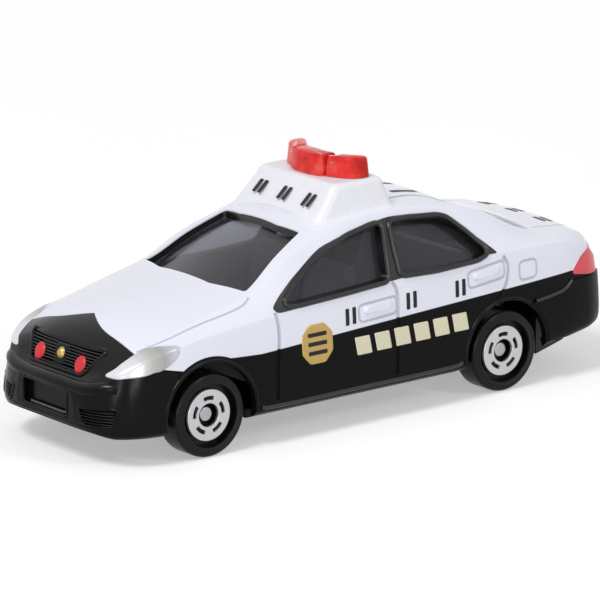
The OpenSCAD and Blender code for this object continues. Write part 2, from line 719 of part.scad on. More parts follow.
module disc(x, side) {
    color("#d4d6d8")
    on_axle(x, side)
    translate([0, 0, -disc_inset - disc_t])
    difference() {
        cylinder(r = disc_r, h = disc_t);
        translate([0, 0, -overrun]) cylinder(r = hub_hole_r, h = disc_t + 2 * overrun);
        for (i = [0 : disc_slots - 1])
            rotate([0, 0, -90 * side + i * 360 / disc_slots - slot_angle / 2])
            translate([0, 0, -overrun])
            rotate_extrude(angle = slot_angle)
            translate([slot_r, 0]) square([slot_w, disc_t + 2 * overrun]);
    }
}

module wheel_front_left() { wheel(front_axle_x, 1); }
module wheel_front_right() { wheel(front_axle_x, -1); }
module wheel_rear_left() { wheel(rear_axle_x, 1); }
module wheel_rear_right() { wheel(rear_axle_x, -1); }
module disc_front_left() { disc(front_axle_x, 1); }
module disc_front_right() { disc(front_axle_x, -1); }
module disc_rear_left() { disc(rear_axle_x, 1); }
module disc_rear_right() { disc(rear_axle_x, -1); }

// A block with rounded upright and top edges, its top smaller than its foot
module box_form(inset, low, high) {
    r = roof_box_round;
    x_rear = -roof_box_back - roof_box_len / 2 + inset;
    x_front = -roof_box_back + roof_box_len / 2 - inset;
    y = roof_box_w / 2 - inset;
    hull($fn = 20) {
        for (side = [-1, 1]) {
            translate([x_rear + r, side * (y - r), low]) cylinder(r = r, h = r);
            translate([x_front - r, side * (y - r), low]) cylinder(r = r, h = r);
            translate([x_rear + roof_box_lean + r, side * (y - roof_box_lean - r), high - r]) sphere(r);
            translate([x_front - roof_box_rake - r, side * (y - roof_box_lean - r), high - r]) sphere(r);
        }
    }
}

module roof_box() {
    low = roof_h * rail_h_shares[9][1] - roof_box_wall;
    color("#f4f2f4")
    difference() {
        box_form(0, low, roof_box_top);
        box_form(roof_box_wall, low - overrun, roof_box_top - roof_box_wall);
        solid_form(seat_gap, roof_from_share, roof_to_share);
    }
}

// One lens of the warning light: its foot outline leans in towards its top
module light_lens(shares) {
    front = -roof_box_back + roof_box_len / 2 - roof_box_rake - light_back;
    foot = [for (s = shares) [front, 0] + s * light_span / 2];
    mid = [for (k = [0, 1]) (min([for (q = foot) q[k]]) + max([for (q = foot) q[k]])) / 2];
    z = roof_box_top + seat_gap;
    hull() {
        translate([0, 0, z]) linear_extrude(light_edge_h) polygon(foot);
        translate([0, 0, z]) linear_extrude(light_h) polygon([for (q = foot) q + light_lean * unit(mid - q)]);
    }
}

module warning_light() {
    color("#e03028")
    union() {
        light_lens(mid_lens_shares);
        both_sides() light_lens(wing_lens_shares);
    }
}

body_shell();
front_fascia();
chassis();
window_glazing();
cabin_interior();
roof_box();
warning_light();
headlamp_left();
headlamp_right();
tail_lamp_left();
tail_lamp_right();
front_axle();
rear_axle();
wheel_front_left();
wheel_front_right();
wheel_rear_left();
wheel_rear_right();
disc_front_left();
disc_front_right();
disc_rear_left();
disc_rear_right();
leaf_spring();
chassis_rivets();
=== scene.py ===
# %% [markdown]
# # A die-cast toy police car
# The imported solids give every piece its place. This file dresses them: a smooth painted casting in place of
# the faceted one, a black nose with a slatted grille, smoked windows in raised frames, a red warning light,
# wheels with bright slotted discs, and the studio. All sizes below are in millimetres, and a mesh is turned
# into metres at the moment it is made.

# %% Load the solids
import math

import bmesh
import bpy
import numpy as np
from mathutils import Matrix, Vector
from mathutils.bvhtree import BVHTree


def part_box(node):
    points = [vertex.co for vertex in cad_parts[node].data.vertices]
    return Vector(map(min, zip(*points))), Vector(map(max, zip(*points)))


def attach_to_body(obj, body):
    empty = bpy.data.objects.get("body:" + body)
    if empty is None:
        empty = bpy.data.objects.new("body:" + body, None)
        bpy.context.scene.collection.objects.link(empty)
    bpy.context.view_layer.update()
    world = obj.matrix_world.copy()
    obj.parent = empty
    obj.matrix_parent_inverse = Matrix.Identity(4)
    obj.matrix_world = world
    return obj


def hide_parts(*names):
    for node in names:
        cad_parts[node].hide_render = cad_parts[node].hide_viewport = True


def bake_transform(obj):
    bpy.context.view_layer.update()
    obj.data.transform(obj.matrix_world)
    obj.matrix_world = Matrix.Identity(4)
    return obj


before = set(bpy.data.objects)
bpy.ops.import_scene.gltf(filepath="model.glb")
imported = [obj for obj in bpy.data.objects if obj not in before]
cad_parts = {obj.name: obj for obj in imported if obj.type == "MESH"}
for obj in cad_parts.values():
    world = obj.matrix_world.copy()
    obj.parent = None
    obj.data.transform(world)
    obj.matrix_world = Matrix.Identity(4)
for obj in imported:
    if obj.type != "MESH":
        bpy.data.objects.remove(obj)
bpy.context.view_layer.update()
MM = 0.001

# %% [markdown]
# ## The form of the casting
# The casting is one loft. At each place along the car a ring runs from the left lip over the roof to the right
# lip, and its control points come from a handful of body lines: lower edge, side, window line, roof rail and
# crown. Each line is a short table read through a curve that never overshoots its points. The solids use the
# same tables with few points. Here they are read very densely, so that reflections run without a facet.

# %% Body lines
HALF_LEN, HALF_W, ROOF_H, SILL_LIP = 36.65, 13.5, 24.0, 1.35
AXLES_X, AXLE_Z = (23.1, -20.1), 4.85
CROWN = [[-1, .52], [-.984, .62], [-.949, .7], [-.893, .727], [-.785, .744], [-.703, .78], [-.539, .9], [-.416, .962],
         [-.295, .991], [-.102, 1], [.061, .988], [.152, .962], [.208, .926], [.42, .771], [.465, .741], [.553, .716],
         [.689, .681], [.809, .638], [.867, .604], [.913, .55], [.934, .488], [.948, .43], [.966, .402], [.99, .388],
         [1, .365]]
RAIL_H = [[-1, .51], [-.978, .61], [-.919, .69], [-.839, .718], [-.728, .738], [-.539, .87], [-.416, .935],
          [-.295, .965], [-.13, .975], [.007, .96], [.134, .913], [.279, .827], [.402, .72], [.553, .663],
          [.742, .595], [.842, .54], [.913, .485], [.953, .42], [.975, .39], [1, .36]]
BELT_H = [[-1, .47], [-.975, .55], [-.93, .61], [-.859, .665], [-.758, .69], [-.537, .695], [-.094, .665],
          [.359, .618], [.55, .592], [.742, .555], [.832, .52], [.903, .472], [.953, .408], [.98, .382], [1, .35]]
LOW_H = [[-1, .26], [-.96, .232], [-.839, .208], [-.698, .175], [-.597, .15], [.51, .15], [.772, .142], [.933, .147],
         [1, .18]]
SIDE_W = [[-1, .62], [-.99, .775], [-.96, .875], [-.894, .945], [-.758, .985], [-.537, 1], [.51, 1], [.745, .985],
          [.84, .952], [.9, .893], [.941, .815], [.971, .704], [.992, .578], [1, .41]]
BELT_W = [[-1, .59], [-.99, .735], [-.96, .82], [-.894, .885], [-.758, .92], [-.537, .93], [.359, .93], [.611, .925],
          [.742, .912], [.842, .875], [.903, .8], [.945, .7], [.975, .58], [1, .36]]
RAIL_W = [[-1, .5], [-.98, .65], [-.94, .73], [-.839, .745], [-.728, .735], [-.539, .69], [-.295, .64], [-.094, .635],
          [.134, .645], [.279, .715], [.402, .77], [.553, .765], [.742, .74], [.842, .72], [.913, .65], [.953, .55],
          [.98, .45], [1, .3]]
SIDE_STEPS = [[.22, .4], [.5, .72], [.85, .93]]
ROOF_STEPS = [[.7, .52], [.36, .88]]


def line_at(table, x):
    t = np.array(table, float)
    gaps = np.diff(t[:, 1]) / np.diff(t[:, 0])
    a, b = gaps[:-1], gaps[1:]
    both = a * b > 0
    inner = np.where(both, 2 * a * b / np.where(both, a + b, 1), 0)
    lean = np.concatenate([gaps[:1], inner, gaps[-1:]])
    i = np.clip(np.searchsorted(t[:, 0], x, side="right") - 1, 0, len(t) - 2)
    step = t[i + 1, 0] - t[i, 0]
    f = (x - t[i, 0]) / step
    return (t[i, 1] * (1 + 2 * f) * (1 - f) ** 2 + t[i + 1, 1] * f * f * (3 - 2 * f)
            + step * (lean[i] * f * (1 - f) ** 2 - lean[i + 1] * f * f * (1 - f)))


def ring_controls(u):
    low, side = ROOF_H * line_at(LOW_H, u), HALF_W * line_at(SIDE_W, u)
    belt = np.stack([HALF_W * line_at(BELT_W, u), ROOF_H * line_at(BELT_H, u)], 1)
    rail = np.stack([HALF_W * line_at(RAIL_W, u), ROOF_H * line_at(RAIL_H, u)], 1)
    crown = ROOF_H * line_at(CROWN, u)
    lip = np.stack([side * .93, low], 1)
    sill = np.stack([side, low + SILL_LIP], 1)
    points = [lip, lip, np.stack([side * .985, low + SILL_LIP * .985 / 4], 1), sill]
    points += [sill + (belt - sill) * np.array(s) for s in SIDE_STEPS] + [belt, belt]
    middle = (belt + rail) / 2
    middle[:, 0] += .03 * (rail[:, 1] - belt[:, 1])
    points += [middle, rail, rail]
    points += [np.stack([rail[:, 0] * s[0], rail[:, 1] + (crown - rail[:, 1]) * s[1]], 1) for s in ROOF_STEPS]
    points += [np.stack([crown * 0, crown], 1)]
    half = np.stack(points, 1)
    return np.concatenate([half, half[:, -2::-1] * np.array([-1, 1])], 1)


print("crown height at the middle of the roof:", round(float(ROOF_H * line_at(CROWN, np.array([-.1]))[0]), 2), "mm")

# %% Rings and skins
def rings(u, wall, steps):
    p = ring_controls(u)
    f = (np.arange(steps) / steps)[None, None, :, None]
    spans = [p[:, k:p.shape[1] - 3 + k, None, :] for k in range(4)]
    curve = (spans[0] * (1 - f) ** 3 + spans[1] * (3 * f ** 3 - 6 * f * f + 4)
             + spans[2] * (1 + 3 * f + 3 * f * f - 3 * f ** 3) + spans[3] * f ** 3) / 6
    curve = curve.reshape(len(u), -1, 2)
    last = (p[:, -3:-2] + 4 * p[:, -2:-1] + p[:, -1:]) / 6
    r = np.concatenate([p[:, :1], curve, last, p[:, -1:]], 1)
    along = np.concatenate([r[:, 1:2] - r[:, :1], r[:, 2:] - r[:, :-2], r[:, -1:] - r[:, -2:-1]], 1)
    along /= np.linalg.norm(along, axis=2, keepdims=True)
    return r + wall * np.stack([-along[..., 1], along[..., 0]], 2)


def places(x_from, x_to, count):
    u = np.linspace(x_from / HALF_LEN, x_to / HALF_LEN, count)
    ends = .035 * np.linspace(0, 1, 22) ** 1.6
    extra = [s * (1 - ends) for s in (-1, 1)]
    u = np.unique(np.round(np.concatenate([u] + [e[(e >= u[0]) & (e <= u[-1])] for e in extra]), 6))
    return u[np.concatenate([[True], np.diff(u) > 4e-4])]


def skin(u, wall, steps, thick=0.0, skip=0):
    r = rings(u, wall, steps)
    if skip:
        first = 1 + (skip - 1) * steps
        r = r[:, first:r.shape[1] - first]
    x = u * (HALF_LEN - wall)
    x[0] += (1 + u[0]) * thick
    x[-1] -= (1 - u[-1]) * thick
    return np.concatenate([np.repeat(x[:, None, None], r.shape[1], 1), r], 2)


def grid_faces(rows, cols, base=0, flip=False):
    s, i = np.meshgrid(np.arange(rows - 1), np.arange(cols - 1), indexing="ij")
    a = base + s * cols + i
    q = np.stack([a, a + 1, a + cols + 1, a + cols], 2).reshape(-1, 4)
    return (q[:, ::-1] if flip else q).tolist()


fine_skin = skin(places(-HALF_LEN, HALF_LEN, 260), 0, 8)
count, wide = fine_skin.shape[:2]
ends = [list(range(wide)), list(range((count - 1) * wide, count * wide))]
skin_tree = BVHTree.FromPolygons([Vector(v) for v in fine_skin.reshape(-1, 3)], grid_faces(count, wide) + ends)
print("fine skin:", count, "rings of", wide, "points")

# %% [markdown]
# ## Tools for making pieces
# Every piece below is one of a few things: a tub (a loft with a wall), a prism or a tube that cuts it, a pillow
# (an outline laid on the skin with a rounded edge), or a turned shape. A short helper makes each one. Rays cast
# at the dense skin put a point of the photograph's measured outlines onto the metal.

# %% Meshes and cuts
def attach(piece, node=None, body="car_body"):
    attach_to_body(piece, body)
    if node:
        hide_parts(node)


def face_outward(bm):
    seen = set()
    for first in bm.faces:
        if first in seen:
            continue
        island, front = [], [first]
        seen.add(first)
        while front:
            face = front.pop()
            island.append(face)
            for edge in face.edges:
                for other in edge.link_faces:
                    if other not in seen:
                        seen.add(other)
                        front.append(other)
        volume = 0.0
        for face in island:
            a, *rest = [v.co for v in face.verts]
            volume += sum(a.dot(b.cross(c)) for b, c in zip(rest, rest[1:]))
        if volume < 0:
            bmesh.ops.reverse_faces(bm, faces=island)


def mesh_piece(name, points, faces, finish=None, sharp=35, second=None):
    mesh = bpy.data.meshes.new(name)
    mesh.from_pydata((np.asarray(points, float) * MM).tolist(), [], faces)
    if second is not None:
        mesh.polygons.foreach_set("material_index", np.asarray(second, np.int32))
    bm = bmesh.new()
    bm.from_mesh(mesh)
    bmesh.ops.remove_doubles(bm, verts=bm.verts, dist=1e-7)
    bmesh.ops.recalc_face_normals(bm, faces=bm.faces)
    face_outward(bm)
    bm.to_mesh(mesh)
    bm.free()
    return dress(bpy.data.objects.new(name, mesh), finish, sharp)


def dress(piece, finish, sharp=35):
    if piece.name not in bpy.context.scene.collection.objects:
        bpy.context.scene.collection.objects.link(piece)
    if finish:
        if len(piece.data.materials):
            piece.data.materials.clear()
        for m in finish if isinstance(finish, (list, tuple)) else [finish]:
            piece.data.materials.append(m)
    piece.data.shade_smooth()
    piece.data.set_sharp_from_angle(angle=math.radians(sharp))
    return piece


def settle(piece, sharp=35):
    depsgraph = bpy.context.evaluated_depsgraph_get()
    mesh = bpy.data.meshes.new_from_object(piece.evaluated_get(depsgraph))
    piece.modifiers.clear()
    piece.data = mesh
    mesh.shade_smooth()
    mesh.set_sharp_from_angle(angle=math.radians(sharp))
    for face in mesh.polygons:
        face.use_smooth = abs(face.normal.x) < .9998
    return piece


def carve(piece, tools, how="DIFFERENCE", sharp=35):
    for tool in tools:
        if not any(tool.data.materials):
            tool.data.materials.clear()
            for m in piece.data.materials[:1]:
                tool.data.materials.append(m)
        cut = piece.modifiers.new("cut", "BOOLEAN")
        cut.operation, cut.solver, cut.object, cut.material_mode = how, "MANIFOLD", tool, "TRANSFER"
    settle(piece, sharp)
    for tool in tools:
        bpy.data.objects.remove(tool)
    return piece


# %% Tubs, prisms and tubes
def tub(name, outer, inner, x_from, x_to, count, steps=8, inner_steps=3, skip=0, finish=None):
    u = places(x_from, x_to, count)
    a, b = skin(u, outer, steps, 0, skip), skin(u, inner, inner_steps, inner - outer, skip)
    rows, n, m = len(u), a.shape[1], b.shape[1]
    base = rows * n
    faces = grid_faces(rows, n) + grid_faces(rows, m, base, True)
    for s in range(rows - 1):
        faces.append([s * n, (s + 1) * n, base + (s + 1) * m, base + s * m])
        faces.append([(s + 1) * n - 1, base + (s + 1) * m - 1, base + (s + 2) * m - 1, (s + 2) * n - 1])
    last, last_b = (rows - 1) * n, base + (rows - 1) * m
    faces += [list(range(n)), list(range(last, last + n)), list(range(base, base + m)), list(range(last_b, last_b + m))]
    faces += [[0, base, base + m - 1, n - 1], [last, last + n - 1, last_b + m - 1, last_b]]
    inside = np.zeros(len(faces), int)
    inside[(rows - 1) * (n - 1):(rows - 1) * (n + m - 2)] = 1
    inside[[-4, -3]] = 1
    points = np.concatenate([a.reshape(-1, 3), b.reshape(-1, 3)])
    return mesh_piece(name, points, faces, finish, 35, inside if isinstance(finish, tuple) else None)


def set_axes(points, axis):
    order = {"x": (2, 0, 1), "y": (0, 2, 1), "z": (0, 1, 2)}[axis]
    return np.asarray(points, float)[:, order]


def prism(name, outlines, axis, low, high):
    points, faces = [], []
    for outline in outlines:
        n, base = len(outline), len(points)
        points += [[p[0], p[1], low] for p in outline] + [[p[0], p[1], high] for p in outline]
        faces += [[base + i for i in range(n)], [base + n + i for i in range(n)]]
        faces += [[base + i, base + (i + 1) % n, base + n + (i + 1) % n, base + n + i] for i in range(n)]
    return mesh_piece(name, set_axes(points, axis), faces)


FIRST_ACROSS = np.array([.05, 1, .08])


def sweep(paths, radius, sides=10, closed=False):
    points, faces = [], []
    turn = 2 * np.pi * np.arange(sides) / sides
    for path in paths:
        path = np.asarray(path, float)
        if closed:
            ahead, behind = np.roll(path, -1, 0), np.roll(path, 1, 0)
        else:
            ahead, behind = np.vstack([path[1:], path[-1:]]), np.vstack([path[:1], path[:-1]])
        along = (ahead - behind) / np.linalg.norm(ahead - behind, axis=1, keepdims=True)
        across = FIRST_ACROSS
        base, n = len(points), len(path)
        for q, d in zip(path, along):
            if closed:
                across = FIRST_ACROSS
            across = across - d * np.dot(across, d)
            across /= np.linalg.norm(across)
            other = np.cross(d, across)
            points += list(q + radius * (np.outer(np.cos(turn), across) + np.outer(np.sin(turn), other)))
        for r in range(n if closed else n - 1):
            for k in range(sides):
                a, b = base + r * sides, base + (r + 1) % n * sides
                faces.append([a + k, a + (k + 1) % sides, b + (k + 1) % sides, b + k])
        if not closed:
            faces += [[base + k for k in range(sides)], [base + (n - 1) * sides + k for k in range(sides)]]
    return points, faces


# %% Outlines and places on the skin
def rounded(points, radius, n=7):
    p, out = np.asarray(points, float), []
    for i in range(len(p)):
        a, b, c = p[i - 1], p[i], p[(i + 1) % len(p)]
        da, dc = np.linalg.norm(a - b), np.linalg.norm(c - b)
        s, e = b + (a - b) * min(radius / da, .48), b + (c - b) * min(radius / dc, .48)
        for t in np.linspace(0, 1, n):
            out.append(s * (1 - t) ** 2 + b * 2 * t * (1 - t) + e * t * t)
    return np.array(out)


def smooth_path(points, gap=.35, closed=False):
    p = np.asarray(points, float)
    k = len(p)
    at = (lambda i: p[i % k]) if closed else (lambda i: p[min(max(i, 0), k - 1)])
    out = []
    for i in range(k if closed else k - 1):
        a, b, c, d = at(i - 1), at(i), at(i + 1), at(i + 2)
        n = max(2, int(np.linalg.norm(c - b) / gap))
        for t in np.arange(n) / n:
            out.append(.5 * (2 * b + (c - a) * t + (2 * a - 5 * b + 4 * c - d) * t * t
                             + (3 * b - a - 3 * c + d) * t ** 3))
    return np.array(out if closed else out + [p[-1]])


def grown(outline, by):
    p = np.asarray(outline, float)
    along = np.roll(p, -1, 0) - np.roll(p, 1, 0)
    along /= np.maximum(np.linalg.norm(along, axis=1, keepdims=True), 1e-9)
    area = np.sum(p[:, 0] * np.roll(p[:, 1], -1) - np.roll(p[:, 0], -1) * p[:, 1])
    return p + by * math.copysign(1, area) * np.stack([along[:, 1], -along[:, 0]], 1)


def cast(origin, direction):
    hit, normal, _, _ = skin_tree.ray_cast(Vector(origin), Vector(direction))
    if hit is None:
        hit, normal, _, _ = skin_tree.find_nearest(Vector(origin))
    normal = np.array(normal)
    return np.array(hit), normal if np.dot(normal, direction) < 0 else -normal


def on_side(x, z, out=0.0, side=1):
    hit, normal = cast((x, 60, z), (0, -1, 0))
    return (hit + out * normal) * np.array([1, side, 1])


def on_top(x, y, out=0.0, side=1):
    hit, normal = cast((x, y * side, 60), (0, 0, -1))
    return hit + out * normal


def on_front(y, z, out=0.0, side=1):
    hit, normal = cast((80, y * side, z), (-1, 0, 0))
    return hit + out * normal


def filled_in(outline, gap=.4):
    p, out = np.asarray(outline, float), []
    for a, b in zip(p, np.roll(p, -1, 0)):
        n = max(1, round(np.linalg.norm(b - a) / gap))
        out += [a + (b - a) * k / n for k in range(n)]
    return np.array(out)


def pillow(name, outlines, place, finish, rise=.05, sink=.3, edge=.3, layers=12, sides=(1,)):
    points, faces = [], []
    for outline in outlines:
        o = filled_in(outline)
        middle = o.mean(0)
        reach = np.linalg.norm(o - middle, axis=1).mean()
        for side in sides:
            base, n = len(points), len(o)
            for k in range(layers + 1):
                f = (k / layers) ** 1.7
                t = min(1.0, f * reach / edge)
                out = -sink + (rise + sink) * math.sin(t * math.pi / 2)
                keep = 1 - f
                if k == layers:
                    points.append(place(*middle, out, side))
                else:
                    points += [place(*(middle + (q - middle) * keep), out, side) for q in o]
            for k in range(layers - 1):
                for i in range(n):
                    a, b = base + k * n + i, base + k * n + (i + 1) % n
                    faces.append([a, b, b + n, a + n])
            top = base + (layers - 1) * n
            faces += [[top + i, top + (i + 1) % n, base + layers * n] for i in range(n)]
            faces.append([base + i for i in range(n)])
    return mesh_piece(name, points, faces, finish, 60)


def turned(name, profile, x, side, finish, count=144, sharp=32):
    p = np.asarray(profile, float)
    t = np.linspace(0, 2 * math.pi, count, endpoint=False)
    r, d = p[:, 0], p[:, 1]
    pts = np.stack([x + np.outer(np.cos(t), r), np.repeat((side * d)[None], count, 0),
                    AXLE_Z + np.outer(np.sin(t), r)], 2)
    n = len(p)
    faces = [[i * n + k, i * n + (k + 1) % n, ((i + 1) % count) * n + (k + 1) % n, ((i + 1) % count) * n + k]
             for i in range(count) for k in range(n)]
    return mesh_piece(name, pts.reshape(-1, 3), faces, finish, sharp)


print("a point on the door:", np.round(on_side(0, 10), 2))

# %% [markdown]
# ## Finishes
# Nothing on a toy is quite even: enamel has a faint orange peel, plastic a moulded haze, and fingers leave
# smudges. One shader group makes these for all finishes, with its own scale and depth in each. It gives a
# height for a Bump node and a roughness. The shader itself stays in each material.

# %% A handled surface
def new_group(name, inputs, outputs):
    tree = bpy.data.node_groups.new(name, "ShaderNodeTree")
    for label, value in inputs:
        s = tree.interface.new_socket(label, in_out="INPUT", socket_type="NodeSocketFloat")
        s.default_value = value
    for label, kind in outputs:
        tree.interface.new_socket(label, in_out="OUTPUT", socket_type=kind)
    return tree, tree.nodes.new("NodeGroupInput"), tree.nodes.new("NodeGroupOutput")


def math_node(tree, how, a, b=None, c=None):
    n = tree.nodes.new("ShaderNodeMath")
    n.operation = how
    for k, v in enumerate((a, b, c)):
        if v is None:
            continue
        if isinstance(v, (int, float)):
            n.inputs[k].default_value = v
        else:
            tree.links.new(v, n.inputs[k])
    return n.outputs[0]


def noise(tree, vector, scale, detail=2.0, roughness=.5):
    n = tree.nodes.new("ShaderNodeTexNoise")
    n.inputs["Detail"].default_value, n.inputs["Roughness"].default_value = detail, roughness
    tree.links.new(vector, n.inputs["Vector"])
    if isinstance(scale, (int, float)):
        n.inputs["Scale"].default_value = scale
    else:
        tree.links.new(scale, n.inputs["Scale"])
    return n.outputs["Fac"]


HANDLED, _in, _out = new_group(
    "handled_surface",
    [("Peel Scale", 900), ("Smudge Scale", 60), ("Roughness", .3), ("Smudge", .08)],
    [("Height", "NodeSocketFloat"), ("Roughness", "NodeSocketFloat"), ("Cloud", "NodeSocketFloat")])
_place = HANDLED.nodes.new("ShaderNodeTexCoord").outputs["Object"]
_peel = noise(HANDLED, _place, _in.outputs["Peel Scale"], 3)
_cloud = noise(HANDLED, _place, _in.outputs["Smudge Scale"], 5, .6)
_swing = math_node(HANDLED, "MULTIPLY", math_node(HANDLED, "SUBTRACT", _cloud, .5), _in.outputs["Smudge"])
HANDLED.links.new(_peel, _out.inputs["Height"])
HANDLED.links.new(math_node(HANDLED, "ADD", _in.outputs["Roughness"], _swing), _out.inputs["Roughness"])
HANDLED.links.new(_cloud, _out.inputs["Cloud"])


def finish(name, color, roughness, peel=900, depth=.02, smudge=.08, smudge_scale=60, **sockets):
    m = bpy.data.materials.new(name)
    m.use_nodes = True
    tree = m.node_tree
    bsdf = tree.nodes["Principled BSDF"]
    bsdf.inputs["Base Color"].default_value = (*color, 1)
    for label, value in sockets.items():
        bsdf.inputs[label.replace("_", " ").title().replace("Ior", "IOR")].default_value = value
    handled = tree.nodes.new("ShaderNodeGroup")
    handled.node_tree = HANDLED
    for label, value in (("Peel Scale", peel), ("Smudge Scale", smudge_scale), ("Roughness", roughness),
                         ("Smudge", smudge)):
        handled.inputs[label].default_value = value
    bump = tree.nodes.new("ShaderNodeBump")
    bump.inputs["Strength"].default_value = .35
    bump.inputs["Distance"].default_value = depth * MM
    tree.links.new(handled.outputs["Height"], bump.inputs["Height"])
    tree.links.new(bump.outputs["Normal"], bsdf.inputs["Normal"])
    tree.links.new(handled.outputs["Roughness"], bsdf.inputs["Roughness"])
    m["bump"], m["handled"] = bump.name, handled.name
    return m


print("shared shader group:", HANDLED.name, "with", len(HANDLED.nodes), "nodes")

# %% [markdown]
# ## Two-colour enamel
# The casting is dipped white and sprayed black below a straight line that climbs towards the tail. A Float
# Curve holds that line: it turns the place along the car into the height of the spray edge. The rims of the
# wheel arches are black as well, so two distances to the wheel centres join the mask. The black mouldings get a
# painted sheen on top: their coat grows with the upward part of the normal, so upward faces shine more than sides.

# %% The enamel
SPRAY_LINE = [(-36.65, 11.85), (-34.6, 11.95), (-31.4, 12.45), (-30.6, 12.85), (13.65, 10.92), (15.92, 10.83),
              (19.0, 11.0), (23.4, 11.3),
              (25.2, 10.9), (26.6, 10.62), (29.3, 11.2), (36.65, 11.2)]
SPRAY_LOW, SPRAY_HIGH = 10.0, 14.0
PAINTED_RIM = 6.85

enamel = finish("two_colour_enamel", (.8, .8, .84), .2, peel=700, depth=.012, smudge=.06,
                specular_ior_level=.08, coat_roughness=.09)
tree = enamel.node_tree
split = tree.nodes.new("ShaderNodeSeparateXYZ")
tree.links.new(tree.nodes.new("ShaderNodeTexCoord").outputs["Object"], split.inputs[0])
x_mm = math_node(tree, "MULTIPLY", split.outputs[0], 1000)
z_mm = math_node(tree, "MULTIPLY", split.outputs[2], 1000)
spray = tree.nodes.new("ShaderNodeFloatCurve")
curve = spray.mapping.curves[0]
spots = [((x + HALF_LEN) / (2 * HALF_LEN), (z - SPRAY_LOW) / (SPRAY_HIGH - SPRAY_LOW)) for x, z in SPRAY_LINE]
curve.points[0].location, curve.points[1].location = spots[0], spots[-1]
for s in spots[1:-1]:
    curve.points.new(*s)
for q in curve.points:
    q.handle_type = "VECTOR"
spray.mapping.update()
tree.links.new(math_node(tree, "MULTIPLY_ADD", x_mm, 1 / (2 * HALF_LEN), .5), spray.inputs["Value"])
edge_z = math_node(tree, "MULTIPLY_ADD", spray.outputs[0], SPRAY_HIGH - SPRAY_LOW, SPRAY_LOW)
over = math_node(tree, "SUBTRACT", z_mm, edge_z)
for axle_x in AXLES_X:
    dx, dz = math_node(tree, "SUBTRACT", x_mm, axle_x), math_node(tree, "SUBTRACT", z_mm, AXLE_Z)
    squares = [math_node(tree, "MULTIPLY", d, d) for d in (dx, dz)]
    away = math_node(tree, "SQRT", math_node(tree, "ADD", *squares))
    over = math_node(tree, "MINIMUM", over, math_node(tree, "SUBTRACT", away, PAINTED_RIM))
white_mask = math_node(tree, "MULTIPLY_ADD", over, 14, .5)
tree.nodes[white_mask.node.name].use_clamp = True
handled = tree.nodes[enamel["handled"]]
tint = tree.nodes.new("ShaderNodeMix")
tint.data_type = "RGBA"
tint.inputs["A"].default_value = (.0036, .0036, .0042, 1)
tint.inputs["B"].default_value = (.81, .825, .92, 1)
tree.links.new(white_mask, tint.inputs["Factor"])
tree.links.new(tint.outputs["Result"], tree.nodes["Principled BSDF"].inputs["Base Color"])
rough = math_node(tree, "ADD", handled.outputs["Roughness"], math_node(tree, "MULTIPLY_ADD", white_mask, -.06, .06))
tree.links.new(rough, tree.nodes["Principled BSDF"].inputs["Roughness"])
tree.links.new(math_node(tree, "MULTIPLY", white_mask, .4), tree.nodes["Principled BSDF"].inputs["Coat Weight"])
# The engraved lines get a greyer enamel: painted shade in the grooves.
seam_shade_enamel = enamel.copy()
seam_shade_enamel.name = "enamel_in_seams"
seam_shade_enamel.node_tree.nodes[tint.name].inputs["B"].default_value = (.58, .595, .68, 1)
print("spray line:", len(SPRAY_LINE), "points")

# %% Plain finishes
black_moulding = finish("satin_black_moulding", (.0034, .0034, .0038), .22, peel=1100, depth=.02, smudge=.12,
                        specular_ior_level=.1)
black_moulding.node_tree.nodes["Principled BSDF"].inputs["Coat Roughness"].default_value = .16
tree = black_moulding.node_tree
facing = tree.nodes.new("ShaderNodeSeparateXYZ")
tree.links.new(tree.nodes.new("ShaderNodeTexCoord").outputs["Normal"], facing.inputs[0])
# Painted sheen: the coat weight rises on faces that look up, so tops shine more than sides.
painted_top_sheen = tree.nodes.new("ShaderNodeMapRange")
painted_top_sheen.interpolation_type = "SMOOTHSTEP"
for label, value in (("From Min", .15), ("From Max", .75), ("To Min", 0), ("To Max", .26)):
    painted_top_sheen.inputs[label].default_value = value
tree.links.new(facing.outputs["Z"], painted_top_sheen.inputs["Value"])
tree.links.new(painted_top_sheen.outputs["Result"], tree.nodes["Principled BSDF"].inputs["Coat Weight"])
frame_black = finish("window_frame_black", (.0045, .0045, .005), .22, peel=900, depth=.012, specular_ior_level=.5)
base_black = finish("base_black", (.006, .006, .0065), .5, peel=1500, depth=.04, specular_ior_level=.15)
inside_dark = finish("casting_inside", (.012, .012, .013), .6, peel=1200, depth=.04, specular_ior_level=.1)
cabin_grey = finish("cabin_grey", (.2, .205, .23), .5, peel=1300, depth=.04)
box_white = finish("roof_box_white", (.83, .83, .89), .28, peel=800, depth=.012, smudge=.05, subsurface_weight=.06,
                   subsurface_radius=(.0006, .0006, .0007), specular_ior_level=.35)
tyre_black = finish("wheel_black", (.0042, .0042, .005), .28, peel=1000, depth=.02, smudge=.1, specular_ior_level=.18)
steel = finish("bare_steel", (.42, .42, .43), .38, peel=2600, depth=.1, smudge=.15, metallic=1.0)
spring_steel = finish("spring_steel", (.5, .5, .52), .3, peel=600, depth=.03, metallic=1.0)
gold_print = finish("gold_print", (.5, .34, .11), .32, peel=1500, depth=.02, metallic=.7)
cream_print = finish("cream_print", (.72, .68, .5), .4, peel=1500, depth=.02)
dark_print = finish("dark_print", (.016, .016, .018), .42, peel=1500, depth=.02, specular_ior_level=.2)
silver_bright = finish("reflector_silver", (.75, .74, .74), .3, peel=900, depth=.06, metallic=.5)
# A light grey metallic that paints the highlight on the plate panel's ledge.
silver_print = finish("silver_print", (.16, .16, .17), .35, peel=1500, depth=.02, metallic=.6)
print("plain finishes:", len(bpy.data.materials))
